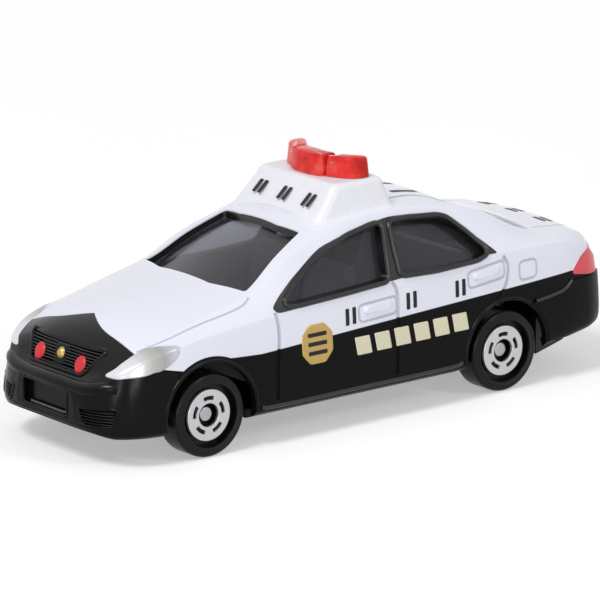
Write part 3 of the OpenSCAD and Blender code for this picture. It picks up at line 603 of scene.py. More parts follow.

# %% [markdown]
# ## The casting
# A tub with a wall of 0.9 mm, cut by everything that opens it: wheel arches, windows, the room for the nose and
# the lamps, and the engraved door lines. The engraved lines are tubes that run just under the skin, so the
# groove keeps one depth round every curve. Cutting all of it in a few passes keeps the surface between the cuts
# untouched, and so the reflections stay smooth. The lines are painted greyer than the paint round them, as
# painted shade in the grooves: their tubes carry a greyer enamel, and the cut hands it on to the faces that it makes.

# %% Openings
L, W, H = HALF_LEN, HALF_W, ROOF_H
WALL = .9
ACROSS, DOWN = ("y", -20, 20), ("z", 13, 40)
HEAD_REACH, TAIL_REACH = 6.75, 7.0
mirrored = lambda outline: np.concatenate([outline, (np.asarray(outline) * [1, -1])[::-1]])
FRONT_GLASS = rounded([(11.8, 15.72), (9.99, 17.11), (6.76, 18.97), (3.9, 20.2), (.69, 21.23), (-2.98, 21.88),
                       (-4.0, 21.92), (-3.12, 18.53),
                       (-2.71, 16.31), (3.36, 15.95), (10.16, 15.63)], .5, 5)
REAR_GLASS = rounded([(-5.61, 21.92), (-7.99, 21.9), (-12.44, 21.55), (-13.57, 21.21), (-15.52, 19.48),
                      (-17.71, 17.16), (-16.19, 16.68),
                      (-10.07, 16.45), (-4.94, 16.6), (-5.05, 19.34)], .5, 5)
SCREEN = rounded(mirrored(np.array([[.172, .262], [.153, .517], [.423, .704], [.462, .35]]) * [L, W]), .45)
BACK = rounded(mirrored(np.array([[-.41, .26], [-.417, .511], [-.731, .7], [-.742, .356]]) * [L, W]), .6)
SIDE_FRAME = rounded([(13.67, 15.48), (12.35, 16.54), (10.1, 18.01), (6.45, 19.92), (4.71, 20.73), (1.69, 21.52),
                      (-1.36, 22.12),
                      (-4.39, 22.5), (-5.66, 22.6), (-8.85, 22.46), (-13.3, 21.92), (-14.79, 20.7), (-17.48, 18.49),
                      (-19.33, 16.78),
                      (-16.61, 16.8), (-9.05, 16.37), (-3.55, 16.04), (4.25, 15.4), (13.12, 14.94)], .5, 4)
NOSE_EDGE = smooth_path(np.array([[.808, 0], [.824, .079], [.843, .2], [.854, .34], [.854, .52], [.851, .79]])
                        * [L, W], .25)
NOSE = mirrored(np.concatenate([NOSE_EDGE, [[1.05 * L, .79 * W]]]))
NOSE = np.delete(NOSE, len(NOSE) - 1, 0)
FLANK = np.array([[.748, .05], [.748, .448], [.79, .461], [.82, .476], [.9, .462], [1.05, .447], [1.05, .05]]) * [L, H]
HEADLAMP = smooth_path(np.array([[.938, .437], [.91, .44], [.864, .447], [.826, .46], [.8, .466], [.744, .514],
                                 [.733, .553], [.742, .561],
                                 [.78, .56], [.809, .552], [.847, .533], [.903, .487]]) * [L, H], .3, True)
TAIL_LAMP = rounded(np.array([[-.83, .517], [-.879, .592], [-.93, .622], [-1.03, .633], [-1.03, .483],
                              [-.941, .488]]) * [L, H], .8)
ARCH_R = 6.15
ARCHES = [np.stack([x + ARCH_R * np.cos(t), AXLE_Z + ARCH_R * np.sin(t)], 1)
          for x in AXLES_X for t in [np.linspace(0, 2 * np.pi, 128, endpoint=False)]]


def nose_room(shift=0.0):
    room = prism("room", [NOSE + [shift, 0]], "z", .4 * H - shift, 40)
    return carve(room, [prism("flank", [FLANK + [shift, -shift]], *ACROSS)], "UNION")


def lamp_room(outline, reach, grow=0.0):
    room = prism("lamp_room", [grown(outline, grow)], *ACROSS)
    return carve(room, [prism("core", [[(-50, 0), (50, 0), (50, 40), (-50, 40)]], "y", -reach, reach)])


print("outlines ready:", len(SIDE_FRAME), "points on the side frame")

# %% Engraved lines
DOOR_LINES = [[(13.49, 15.04), (13.29, 13.12), (13.5, 10.9), (13.8, 8.62), (13.92, 5.2)],
              [(-3.37, 15.9), (-3.94, 14.66), (-3.81, 11.67), (-3.41, 5.2)],
              [(-19.97, 16.29), (-20.61, 15.13), (-20.29, 13.42), (-19.6, 12.23), (-18.7, 11.3)]]
FUEL_LID = rounded([(-22.31, 15.21), (-24.97, 15.25), (-24.93, 13.13), (-22.26, 12.98)], .7, 5)
LEDGE = [(-24.2, 10.25), (-26.84, 10.42), (-28.95, 10.77), (-29.83, 11.33), (-30.2, 11.86)]
ROOF_LINE = [(2.73, 7.94), (-1.08, 6.83), (-5.41, 6.03), (-9.68, 5.35), (-13.26, 5.56), (-15.33, 7.62)]
BOOT_LINE = [(-27.95, 8.5), (-30.4, 8.25), (-32.6, 7.85), (-34.3, 7.3)]
HOOD_LINE = [(30.9, 9.75), (29.46, 10.2), (27.73, 10.6), (26.05, 10.72), (24.2, 10.76), (22.2, 10.82),
             (20.2, 10.93), (18.1, 10.98), (16.7, 10.86),
             (15.75, 10.5)]
SILL_LINE = [(15.9, 4.8), (14.5, 4.5), (0, 4.5), (-11.5, 4.5), (-13.2, 4.8)]


def groove(name, paths, radius, sink, closed=False):
    return mesh_piece(name, *sweep(paths, math.hypot(radius, sink), 10, closed), seam_shade_enamel)


side_lines = [[on_side(x, z, 0, s) for x, z in smooth_path(line)] for line in DOOR_LINES + [LEDGE] for s in (1, -1)]
roof_lines = [[on_top(x, y, 0, s) for x, y in smooth_path(ROOF_LINE)] for s in (1, -1)]
lid_lines = [[on_top(x, y, .04, s) for x, y in smooth_path(line)] for line in (HOOD_LINE, BOOT_LINE) for s in (1, -1)]
sill_lines = [[on_side(x, z, -.05, s) for x, z in smooth_path(SILL_LINE)] for s in (1, -1)]
pocket = lambda x, z, lean: rounded([(x + 2.75, z - 1.2 - lean), (x - 2.75, z - 1.2 + lean),
                                     (x - 2.75, z + .75 + lean), (x + 2.75, z + .75 - lean)], .6, 6)
loops = [[on_side(x, z, .03) for x, z in FUEL_LID]]
loops += [[on_side(x, z, .03, s) for x, z in pocket(*place)]
          for place in ((-.98, 13.38, .15), (-17.26, 14.79, .3)) for s in (1, -1)]

body = tub("body_casting", 0, WALL, -L, L, 200, finish=(enamel, inside_dark))
carve(body, [prism("arches", ARCHES, *ACROSS),
             dress(prism("windows", [grown(FRONT_GLASS, .3), grown(REAR_GLASS, .3)], *ACROSS), inside_dark),
             prism("screens", [SCREEN, BACK], *DOWN),
             nose_room(), lamp_room(HEADLAMP, HEAD_REACH, .03), lamp_room(TAIL_LAMP, TAIL_REACH, .03),
             groove("lines", side_lines + roof_lines, .25, 0), groove("lids", lid_lines, .13, .04),
             groove("loops", loops, .16, .03, True)])
attach(body, "body_shell")
print("casting:", len(body.data.polygons), "faces")

# %% The step of the rear bumper
ledge_path = smooth_path([(-24.6, 10.2), (-26.84, 10.42), (-28.95, 10.77), (-29.83, 11.25), (-30.4, 11.7)])
round_arch = [(AXLES_X[1] - 6.4 * math.cos(t), AXLE_Z + 6.4 * math.sin(t)) for t in np.linspace(.02, .93, 14)]
step_outline = np.concatenate([ledge_path, [(-38, 11.7), (-38, 4.9)], round_arch])
bumper_step = tub("rear_bumper_step", -.2, .4, -L, -23, 90, finish=enamel)
carve(bumper_step, [prism("outline", [step_outline], *ACROSS)], "INTERSECT")
carve(bumper_step, [prism("plate", [rounded([(-3.6, 7.4), (3.6, 7.4), (3.6, 10.2), (-3.6, 10.2)], .4)], "x", -45, -30)])
step_edge = [[on_side(x, z, .0, s) for x, z in ledge_path] for s in (1, -1)]
step_bead = mesh_piece("rear_bumper_edge", *sweep(step_edge, .24, 12), frame_black, 60)
for piece in (bumper_step, step_bead):
    attach(piece)
print("bumper step:", len(bumper_step.data.polygons), "faces")

# %% [markdown]
# ## Frames and glass
# The window frames are raised black bands. Each is a thin layer of the same loft, a little proud of the
# casting, kept only inside the frame's outline and opened where the glass shows. The glazing is one smoked
# moulding that lies under all the openings, as it does in the toy. Rounded beads edge the windows, arches and
# sills: tubes swept along the same outlines and half sunk in the metal. A black band lines the windscreen
# opening and a white rim the back window's.

# %% Window frames
side_frames = tub("side_window_frames", -.05, .85, -21, 15, 130, finish=frame_black)
carve(side_frames, [prism("outline", [SIDE_FRAME], *ACROSS)], "INTERSECT")
carve(side_frames, [prism("glass", [FRONT_GLASS, REAR_GLASS], *ACROSS)])
screen_linings = []
# The windscreen opening is lined with a thin black band set below the skin, the back window with a white rim.
for name, outline, surface, low, high in (("screen_gasket", SCREEN, frame_black, 3, 20),
                                          ("rear_screen_rim", BACK, enamel, -30, -12)):
    rim = tub(name, .16, .85, low, high, 90, finish=surface)
    carve(rim, [prism("outline", [grown(outline, .3)], *DOWN)], "INTERSECT")
    screen_linings.append(carve(rim, [prism("glass", [grown(outline, -.1)], *DOWN)]))
beads = [[on_side(x, z, .0, s) for x, z in o] for o in (grown(FRONT_GLASS, .3), grown(REAR_GLASS, .3)) for s in (1, -1)]
window_beads = mesh_piece("window_beads", *sweep(beads, .33, 14, True), frame_black, 60)
arch_edge = [[on_side(x + 6.33 * math.cos(t), AXLE_Z + 6.33 * math.sin(t), -.12, s) for t in np.linspace(a, b, 70)]
             for x, a, b in ((AXLES_X[0], -.05, 3.19), (AXLES_X[1], -.05, 3.15)) for s in (1, -1)]
arch_beads = mesh_piece("arch_beads", *sweep(arch_edge, .26, 12), black_moulding, 60)
sill_ridges = mesh_piece("sill_ridges", *sweep(sill_lines, .26, 12), frame_black, 60)
for piece in (side_frames, *screen_linings, window_beads, arch_beads, sill_ridges):
    attach(piece)

smoked = finish("smoked_glazing", (.38, .38, .43), .04, peel=160, depth=.002, smudge=.05, transmission_weight=.96,
                ior=1.34, specular_ior_level=.25)
glazing = tub("smoked_windows", .98, 1.68, -27.82, 18.91, 150, 6, 6, 5, smoked)
attach(glazing, "window_glazing")
print("frames:", sum(len(p.data.polygons) for p in (side_frames, *screen_linings)), "faces; glazing:",
      len(glazing.data.polygons))

# %% [markdown]
# ## The nose
# Grille, bumper, number-plate panel and intakes are one black moulding. Its sunk panels are cut with thin layers
# of the loft, so that their floors follow the nose. The bars are swept by one Geometry Nodes tree along
# curves that rays lay on the nose: it turns edges into curves, gives them a flat profile and a finish. Tubes
# make the shoulder and lip of the bumper and the rims of the panels, and a floor plate closes the nose below.

# %% A tree that sweeps bars
def bars_tree(name):
    tree = bpy.data.node_groups.new(name, "GeometryNodeTree")
    sockets = {}
    for label, kind in (("Geometry", "NodeSocketGeometry"), ("Width", "NodeSocketFloat"), ("Height", "NodeSocketFloat"),
                        ("Finish", "NodeSocketMaterial")):
        sockets[label] = tree.interface.new_socket(label, in_out="INPUT", socket_type=kind).identifier
    tree.interface.new_socket("Geometry", in_out="OUTPUT", socket_type="NodeSocketGeometry")
    kinds = {"in": "NodeGroupInput", "out": "NodeGroupOutput", "curve": "GeometryNodeMeshToCurve",
             "flat": "GeometryNodeCurvePrimitiveQuadrilateral", "round": "GeometryNodeFilletCurve",
             "sweep": "GeometryNodeCurveToMesh", "real": "GeometryNodeRealizeInstances",
             "paint": "GeometryNodeSetMaterial"}
    n = {k: tree.nodes.new(kind) for k, kind in kinds.items()}
    n["round"].inputs["Radius"].default_value = .06 * MM
    link = tree.links.new
    link(n["in"].outputs["Geometry"], n["curve"].inputs["Mesh"])
    link(n["in"].outputs["Width"], n["flat"].inputs["Width"])
    link(n["in"].outputs["Height"], n["flat"].inputs["Height"])
    link(n["flat"].outputs[0], n["round"].inputs["Curve"])
    link(n["curve"].outputs[0], n["sweep"].inputs["Curve"])
    link(n["round"].outputs[0], n["sweep"].inputs["Profile Curve"])
    n["sweep"].inputs["Fill Caps"].default_value = True
    link(n["sweep"].outputs[0], n["real"].inputs[0])
    link(n["real"].outputs[0], n["paint"].inputs["Geometry"])
    link(n["in"].outputs["Finish"], n["paint"].inputs["Material"])
    link(n["paint"].outputs[0], n["out"].inputs["Geometry"])
    return tree, sockets


BARS, BAR_SOCKETS = bars_tree("swept_bars")


def bars(name, paths, width, height, surface):
    points, edges = [], []
    for path in paths:
        edges += [(len(points) + i, len(points) + i + 1) for i in range(len(path) - 1)]
        points += [list(np.asarray(q) * MM) for q in path]
    mesh = bpy.data.meshes.new(name)
    mesh.from_pydata(points, edges, [])
    piece = bpy.data.objects.new(name, mesh)
    bpy.context.scene.collection.objects.link(piece)
    swept = piece.modifiers.new("bars", "NODES")
    swept.node_group = BARS
    for label, value in (("Width", width * MM), ("Height", height * MM), ("Finish", surface)):
        swept[BAR_SOCKETS[label]] = value
    return settle(piece, 40)


# %% The moulding and its panels
grille_black = finish("grille_black", (.006, .006, .0065), .34, peel=1100, depth=.02, specular_ior_level=.45)
GRILLE = np.array([[-.52, .525], [.52, .525], [.36, .417], [-.36, .417]]) * [W, H]
PLATE = np.array([[-.31, .34], [.31, .34], [.31, .222], [-.31, .222]]) * [W, H]
INTAKE = np.array([[.45, .28], [.8, .29], [.78, .212], [.52, .206]]) * [W, H]


def panel(outlines, depth):
    layer = tub("layer", -.6, depth, 27, L, 70, 6, 6)
    return carve(layer, [prism("outline", outlines, "x", 27, 45)], "INTERSECT")


nose = tub("nose_moulding", 0, WALL, 26, L, 90, finish=black_moulding)
carve(nose, [nose_room(.08)], "INTERSECT")
carve(nose, [prism("arches", ARCHES, *ACROSS), lamp_room(HEADLAMP, HEAD_REACH, .05),
             panel([rounded(GRILLE, .35)], .6), panel([rounded(PLATE, .3)], .7),
             panel([rounded(INTAKE, .35), rounded(INTAKE * [-1, 1], .35)], .6)])
attach(nose, "front_fascia")

grille_z = np.linspace(10.2, 12.45, 8)
reach = lambda z: .36 * W + (z - .417 * H) / (.108 * H) * .16 * W - .12
grille_paths = [[on_front(y, z, -.22) for y in np.linspace(-reach(z), reach(z), 41)] for z in grille_z]
grille = bars("grille_bars", grille_paths, .42, .15, grille_black)
louvre_paths = [[on_front(y * s, z, -.25) for y in np.linspace(6.35 - (z - 5.1) * .35, 10.55, 25)]
                for s in (1, -1) for z in np.linspace(5.25, 6.6, 5)]
louvres = bars("intake_louvres", louvre_paths, .42, .12, black_moulding)


def circle(r, n=40):
    t = np.linspace(0, 2 * np.pi, n, endpoint=False)
    return np.stack([r * np.cos(t), r * np.sin(t)], 1)


def nose_line(height, reach, out):
    y = np.linspace(-reach, reach, 81)
    p = np.array([on_front(a, height(a), out - .5 * (abs(a) / reach) ** 8) for a in y])
    even = lambda v: np.polyval(np.polyfit(y ** 2, v, 4), y ** 2)
    return [np.stack([even(p[:, 0]), y, even(p[:, 2])], 1)]


shoulder = nose_line(lambda y: 9.05 + .2 * (y / 8.4) ** 2, 9.9, -.56)
lower_lip = nose_line(lambda y: 4.75 - .1 * (y / 9) ** 2, 9.8, -.24)
loops = [[on_front(y, z, -.07) for y, z in rounded(grown(o, .12), .45)] for o in (PLATE, INTAKE, INTAKE * [-1, 1])]
grille_loop = [[on_front(y, z, -.06) for y, z in rounded(grown(GRILLE, .16), .5)]]
ribs = [mesh_piece("bumper_shoulder", *sweep(shoulder, .86, 24), black_moulding, 60),
        mesh_piece("bumper_lip", *sweep(lower_lip, .38, 14), black_moulding, 60),
        mesh_piece("panel_rims", *sweep(loops, .2, 12, True), black_moulding, 60),
        mesh_piece("grille_rim", *sweep(grille_loop, .26, 12, True), black_moulding, 60)]
for piece in ribs:
    attach(piece)
NOSE_FLOOR = [(29.6, 8.6), (33.2, 8.2), (34.9, 5.5), (34.9, -5.5), (33.2, -8.2), (29.6, -8.6)]
nose_floor = prism("nose_floor", [NOSE_FLOOR], "z", 3.8, 4.4)
dress(nose_floor, base_black)
block = pillow("grille_block", [rounded([(-1.15, 12.5), (1.15, 12.5), (.95, 10.15), (-.95, 10.15)], .25)],
               on_front, black_moulding, .02, .5, .2)
boss = pillow("grille_boss", [circle(.75) + [0, 11.4]], on_front, gold_print, .35, .1, .6)
# The light strip at the foot of the plate panel: its colour is a painted highlight on the ledge.
ledge = pillow("plate_ledge", [rounded([(-3.35, 5.62), (3.35, 5.62), (3.35, 5.4), (-3.35, 5.4)], .08)],
               on_front, silver_print, -.28, .45, .1)
lamp_red = finish("grille_lamp_red", (.62, .014, .018), .35, peel=1200, depth=.05)
lamps = pillow("grille_lamps", [circle(.9) * [1, 1.02] + [s * 3.85, 10.9] for s in (1, -1)],
               on_front, lamp_red, .18, .02, .25)
for piece, slot in ((lamps, "red_lens"), (nose_floor, "base_plastic"), (grille, "black_plastic"),
                    (louvres, "black_plastic"), (block, "black_plastic"), (boss, "painted_casting"),
                    (ledge, "black_plastic")):
    attach(piece)
print("nose:", len(nose.data.polygons), "faces;", len(grille_paths), "grille bars")

# %% [markdown]
# ## Lamps
# The headlamps are pearl-silver mouldings let into the corner of the nose, with a rounded edge all round. Laying
# their outline on the skin as a pillow gives that edge without a bevel. The tail lamps wrap round the corner of
# the tail, where a side-on ray would miss the end, so they are cut from a layer of the loft.

# %% Headlamps and tail lamps
pearl = finish("pearl_silver", (.62, .625, .69), .28, peel=900, depth=.02, metallic=.2, specular_ior_level=.5)
tail_red = finish("tail_red", (.74, .06, .08), .14, peel=700, depth=.015, specular_ior_level=.5)
tree = pearl.node_tree
split = tree.nodes.new("ShaderNodeSeparateXYZ")
tree.links.new(tree.nodes.new("ShaderNodeTexCoord").outputs["Object"], split.inputs[0])
along = math_node(tree, "MULTIPLY_ADD", split.outputs[0], 1 / (7 * MM), -27 / 7)
# Base colour along the lamp: light at the rear edge, darker in the middle, lightest at the tip, where it is a painted
# highlight.
depth = tree.nodes.new("ShaderNodeValToRGB")
for place, shade in ((.28, (.38, .38, .4)), (.48, (.47, .465, .44)), (.72, (.7, .71, .76))):
    depth.color_ramp.elements.new(place).color = (*shade, 1)
depth.color_ramp.elements[0].color = (.66, .67, .73, 1)
depth.color_ramp.elements[-1].color = (.74, .75, .8, 1)
tree.links.new(along, depth.inputs["Fac"])
tree.links.new(depth.outputs["Color"], tree.nodes["Principled BSDF"].inputs["Base Color"])
for side, label in ((1, "left"), (-1, "right")):
    lamp = pillow("headlamp_lens_" + label, [grown(HEADLAMP, .12)], on_side, pearl, .1, .1, .4, 16, (side,))
    attach(lamp, "headlamp_" + label)
    tail = tub("tail_lens_" + label, -.04, .78, -L, -29, 60, finish=tail_red)
    carve(tail, [prism("outline", [TAIL_LAMP], "y", *sorted((side * 7.05, side * 20)))], "INTERSECT")
    attach(tail, "tail_lamp_" + label)
print("lamps: 4")

# %% [markdown]
# ## Handles and printed marks
# Door handles are raised pills. The printed marks stand for lettering and a crest that a shared part leaves
# out: plain slanted cream blocks where a word would be, plain bars where characters would be, and a plain
# gold plaque on each front door.

# %% Handles and marks
def pill(cx, cz, length, height, slope, n=10):
    t = np.linspace(-np.pi / 2, np.pi / 2, n)
    r = height / 2
    right = np.stack([length / 2 - r + r * np.cos(t), r * np.sin(t)], 1)
    p = np.concatenate([right, -right])
    a = math.atan(slope)
    return p @ np.array([[math.cos(a), math.sin(a)], [-math.sin(a), math.cos(a)]]) + [cx, cz]


handles = pillow("door_handles", [pill(-.98, 13.4, 4.4, 1.0, -.054), pill(-17.26, 14.8, 4.4, 1.0, -.12)],
                 on_side, enamel, .36, .1, .34, 10, (1, -1))
attach(handles)


def leaning(x, z, wide, tall, lean, corner=.15):
    return rounded([(x, z), (x - wide, z), (x - wide + lean, z + tall), (x + lean, z + tall)], corner, 4)


word = [leaning(2.3 - 2.88 * k, 8.3 + .055 * k, 2.2, 2.15, .35) for k in range(6)]
strokes = [leaning(x, z, .55, 2.0, -.1) for x0, z0 in ((3.8, 11.95), (-5.15, 12.35), (-12.45, 12.58))
           for x, z in ((x0, z0), (x0 - 1.0, z0 + .05))]
marks = pillow("door_word_blocks", word, on_side, cream_print, .03, .03, .06, 8, (1, -1))
bars_dark = pillow("side_bars", strokes, on_side, dark_print, .03, .03, .06, 8, (1, -1))
PLAQUE = [(9.1, 8.35), (6.9, 8.35), (5.75, 9.6), (5.75, 11.8), (6.9, 13.0), (9.1, 13.0), (10.25, 11.8), (10.25, 9.6)]
plaque = pillow("door_plaque", [rounded(PLAQUE, .3, 4)],
                on_side, gold_print, .05, .04, .12, 8, (1, -1))
plaque_bars = pillow("plaque_bars", [leaning(9.4, z, 2.8, .5, 0, .1) for z in (9.4, 10.45, 11.5)],
                     on_side, dark_print, .07, .02, .06, 6, (1, -1))
top_bar = lambda x, y, long, wide: rounded([(x, y), (x - long, y), (x - long, y + wide), (x, y + wide)], .15, 4)
roof_bars = [top_bar(-10.6, y, 3.9, .85) for y in (-1.6, 2.9)]
boot_bars = [top_bar(-31.7 + dx, y, .6, 2.2) for y in (-6.2, -1.1, 4.0) for dx in (0, -1.0)]
top_marks = pillow("roof_and_boot_bars", roof_bars + boot_bars,
                   on_top, dark_print, .03, .03, .06, 8)
for piece in (marks, bars_dark, plaque, plaque_bars, top_marks):
    attach(piece)
print("marks:", len(word), "blocks and", len(strokes), "bars on each side")

# %% [markdown]
# ## Roof box and warning light
# Both are stacks of rings. The box starts from a rounded rectangle that follows the roof and closes to a
# smaller one on top, with a fine flare at its foot. Each lens of the light rises from its outline, rounds over
# a small edge and closes in a slightly domed top. A smaller bright block inside each lens sends light back.

# %% Stacks of rings
def stack(name, rows, surface, sharp=35):
    points, faces = [], []
    for layers in rows:
        base, n = len(points), len(layers[0])
        for ring in layers:
            points += [list(q) for q in ring]
        for k in range(len(layers) - 1):
            for i in range(n):
                a, b = base + k * n + i, base + k * n + (i + 1) % n
                faces.append([a, b, b + n, a + n])
        last = base + (len(layers) - 1) * n
        faces += [[base + i for i in range(n)], [last + i for i in range(n)]]
    return mesh_piece(name, points, faces, surface, sharp)


def flat_ring(outline, z):
    return np.column_stack([outline, np.full(len(outline), z)])


BOX_FOOT = rounded([(4.3, 8.1), (-7.5, 8.1), (-7.5, -8.1), (4.3, -8.1)], 1.2, 12)
BOX_TOP = rounded([(.4, 7.1), (-6.5, 7.1), (-6.5, -7.1), (.4, -7.1)], 1.2, 12)
foot_z = np.array([on_top(x, y)[2] for x, y in BOX_FOOT])
BOX_Z, EDGE = 26.9, .7
layers = []
for t, out in [(-.03, .32), (0, .3), (.03, .18), (.07, .07), (.13, .01)] + [(t, 0) for t in np.linspace(.2, .76, 7)]:
    xy = grown(BOX_FOOT + (BOX_TOP - BOX_FOOT) * max(t, 0), out)
    layers.append(np.column_stack([xy, foot_z + (BOX_Z - foot_z) * t]))
for a in np.linspace(0, np.pi / 2, 9):
    t = .78 + .22 * math.sin(a)
    xy = grown(BOX_FOOT + (BOX_TOP - BOX_FOOT) * (.78 + .1 * math.sin(a)), -EDGE * (1 - math.cos(a)))
    layers.append(np.column_stack([xy, foot_z + (BOX_Z - foot_z) * t]))
roof_box = stack("roof_box_shell", [layers], box_white)
attach(roof_box, "roof_box")

box_mid_z = float(on_top(4.3, 0)[2])
slope = np.array([.4 - 4.3, 0, BOX_Z - box_mid_z])
slope_len = np.linalg.norm(slope)
slope_out = np.array([slope[2], 0, -slope[0]]) / slope_len


def on_box(y, along, out=0.0, side=1):
    return np.array([4.3, y, box_mid_z]) + slope * along / slope_len + slope_out * out


box_bars = pillow("box_bars", [leaning(y + .8, 1.5, .5, 1.9, 0) + [dy, 0] for y in (-4.5, 0, 4.5) for dy in (0, -.95)],
                  on_box, dark_print, .04, .05, .06, 6)
attach(box_bars)

lens_red = finish("clear_red_lens", (1, .03, .022), .12, peel=500, depth=.02, smudge_scale=330,
                  transmission_weight=.3, ior=1.4, specular_ior_level=.2)
tree = lens_red.node_tree
glow = tree.nodes.new("ShaderNodeValToRGB")
glow.color_ramp.elements[0].position, glow.color_ramp.elements[0].color = .34, (.6, .008, .006, 1)
glow.color_ramp.elements[1].position, glow.color_ramp.elements[1].color = .68, (1, .14, .11, 1)
glow.color_ramp.elements.new(.5).color = (.95, .03, .022, 1)
tree.links.new(tree.nodes[lens_red["handled"]].outputs["Cloud"], glow.inputs["Fac"])
tree.links.new(glow.outputs["Color"], tree.nodes["Principled BSDF"].inputs["Base Color"])
MID = rounded(np.array([[0, 1.32], [-.46, 2.88], [-2.97, 2.88], [-2.97, -2.88], [-.46, -2.88], [0, -1.32]])
              + [-.3, 0], .35, 6)
WING = rounded(np.array([[-.79, 2.94], [-1.72, 5.2], [-2.38, 6.07], [-3.43, 6.6], [-4.36, 6.6], [-4.95, 6.2],
                         [-5.0, 5.28], [-3.3, 2.94]]) + [-.3, 0], .5, 6)
FAR_WING = (WING * [1, -1])[::-1]


def lens(outline, low, high, edge=.4, lean=.22):
    rows = [flat_ring(grown(outline, -lean * t), low + (high - edge - low) * t) for t in np.linspace(0, 1, 5)]
    rows += [flat_ring(grown(outline, -lean - edge * (1 - math.cos(a))), high - edge + edge * .8 * math.sin(a))
             for a in np.linspace(.2, np.pi / 2, 7)]
    inner = rows[-1][:, :2]
    middle = inner.mean(0)
    return rows + [flat_ring(middle + (inner - middle) * k, high - .2 * edge * k ** 2) for k in (.8, .6, .4, .2, .05)]


light = stack("red_lenses", [lens(MID, 26.98, 29.48), lens(WING, 26.98, 29.4), lens(FAR_WING, 26.98, 29.4)],
              lens_red, 50)
core = stack("light_reflectors", [lens(grown(o, -.75), 27.0, 28.7, .25, .05) for o in (MID, WING, FAR_WING)],
             silver_bright, 40)
attach(core)
attach(light, "warning_light")
print("roof box:", len(roof_box.data.polygons), "faces; light:", len(light.data.polygons))

# %% [markdown]
# ## Wheels
# A wheel is a turned black moulding with a lip, a deep groove inside it and a bright disc let into the middle.
# Five curved slots are cut through the disc, and the round head of the axle shows in the hub.

# %% Wheels, discs and axles
FACE_Y = 13.0


def arc(r0, d0, radius, a0, a1, n=7):
    return [(r0 + radius * math.cos(a), d0 + radius * math.sin(a)) for a in np.radians(np.linspace(a0, a1, n))]


WHEEL = ([(.66, -3.55), (.66, -1.5), (1.35, -1.5), (1.35, -.83), (3.02, -.83), (3.02, -.95), (3.66, -.95)]
         + arc(3.82, -.12, .12, 180, 60) + [(4.0, -.05), (4.2, -.09)] + arc(4.4, -.55, .45, 95, 0, 9)
         + [(4.85, -3.1)] + arc(4.5, -3.2, .35, 0, -90, 7) + [(3.6, -3.6), (3.5, -3.3), (1.6, -3.3), (1.5, -3.55)])
DISC = ([(1.36, -.74), (1.36, -.46)] + arc(1.44, -.46, .07, 180, 90, 4) + [(1.7, -.41), (2.6, -.41)]
        + arc(2.9, -.47, .09, 90, 0, 5) + [(2.99, -.74)])
AXLE_ENDS = [(.02, .0), (.02, 12.1), (.3, 12.08)] + arc(.68, 11.9, .19, 90, 0, 6) + [(.87, 11.62), (.6, 11.6), (.6, 0)]
disc_silver = finish("disc_silver", (.56, .565, .58), .3, peel=1600, depth=.02, smudge=.1, metallic=.75)
SLOT_ANGLE, SLOT_R, SLOT_W = math.radians(40), 2.0, .24


def slot_outline(turn, x):
    a = np.linspace(turn - SLOT_ANGLE / 2, turn + SLOT_ANGLE / 2, 14)
    rows = [np.stack([x + r * np.cos(t), AXLE_Z + r * np.sin(t)], 1)
            for r, t in ((SLOT_R + SLOT_W, a), (SLOT_R - SLOT_W, a[::-1]))]
    return rounded(np.concatenate(rows), .05, 2)


ENDS = tuple(zip(("front", "rear"), AXLES_X))
for end, x, side, label in [(e, x, s, l) for e, x in ENDS for s, l in ((1, "left"), (-1, "right"))]:
    where = "_".join((end, label))
    rides = where + "_wheel"
    wheel = turned("tyre_" + where, [(r, FACE_Y + d) for r, d in WHEEL], x, side, tyre_black)
    disc = turned("slotted_disc_" + where, [(r, FACE_Y + d) for r, d in DISC], x, side, disc_silver)
    slots = [slot_outline(math.radians(90 + 72 * k), x) for k in range(5)]
    carve(disc, [prism("slots", slots, "y", *sorted((side * 11, side * 14)))])
    for piece, node, slot in ((wheel, "wheel_" + where, "wheel_plastic"), (disc, "disc_" + where, "bright_disc")):
        attach(piece, node, rides)
for end, x in ENDS:
    rod = AXLE_ENDS[1:-1]
    axle = turned("axle_rod_" + end, rod + [(r, -y) for r, y in rod[::-1]], x, 1, steel, 48)
    attach(axle, end + "_axle", end + "_axle")
print("wheels: 4, each with", len(wheel.data.polygons) + len(disc.data.polygons), "faces")

# %% [markdown]
# ## The leaf spring
# One steel strip presses on both axles. A rigid strip would be cut by an axle that rises, so each half is its own
# piece here, a straight strip with a hole for the peg at its middle.

# %% Two halves of the spring
leaf_low, leaf_high = (np.array(v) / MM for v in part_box("leaf_spring"))
leaf_mid, LEAF_STEPS = (leaf_low[0] + leaf_high[0]) / 2, 60
for end, axle_x, tip in (("front", AXLES_X[0], leaf_high[0]), ("rear", AXLES_X[1], leaf_low[0])):
    edge = [(leaf_low[1], leaf_low[2]), (leaf_high[1], leaf_low[2]), (leaf_high[1], leaf_high[2]),
            (leaf_low[1], leaf_high[2])]
    points = [(x, y, z) for x in np.linspace(leaf_mid, tip, LEAF_STEPS + 1) for y, z in edge]
    faces = [[4 * i + k, 4 * i + (k + 1) % 4, 4 * i + 4 + (k + 1) % 4, 4 * i + 4 + k]
             for i in range(LEAF_STEPS) for k in range(4)]
    faces += [[0, 1, 2, 3], [4 * LEAF_STEPS + k for k in range(4)]]
    strip = mesh_piece("leaf_spring_" + end, points, faces, spring_steel)
    carve(strip, [prism("peg_hole", [circle(.85) + [leaf_mid, 0]], "z", leaf_low[2] - 1, leaf_high[2] + 1)])
    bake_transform(strip)
    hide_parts("leaf_spring")
print("spring halves reach x", round(float(leaf_low[0]), 1), "and", round(float(leaf_high[0]), 1), "mm")

# %% [markdown]
# ## Pieces that stay as they are
# Base, cabin and rivets are shown as the solids themselves, and only need a finish.

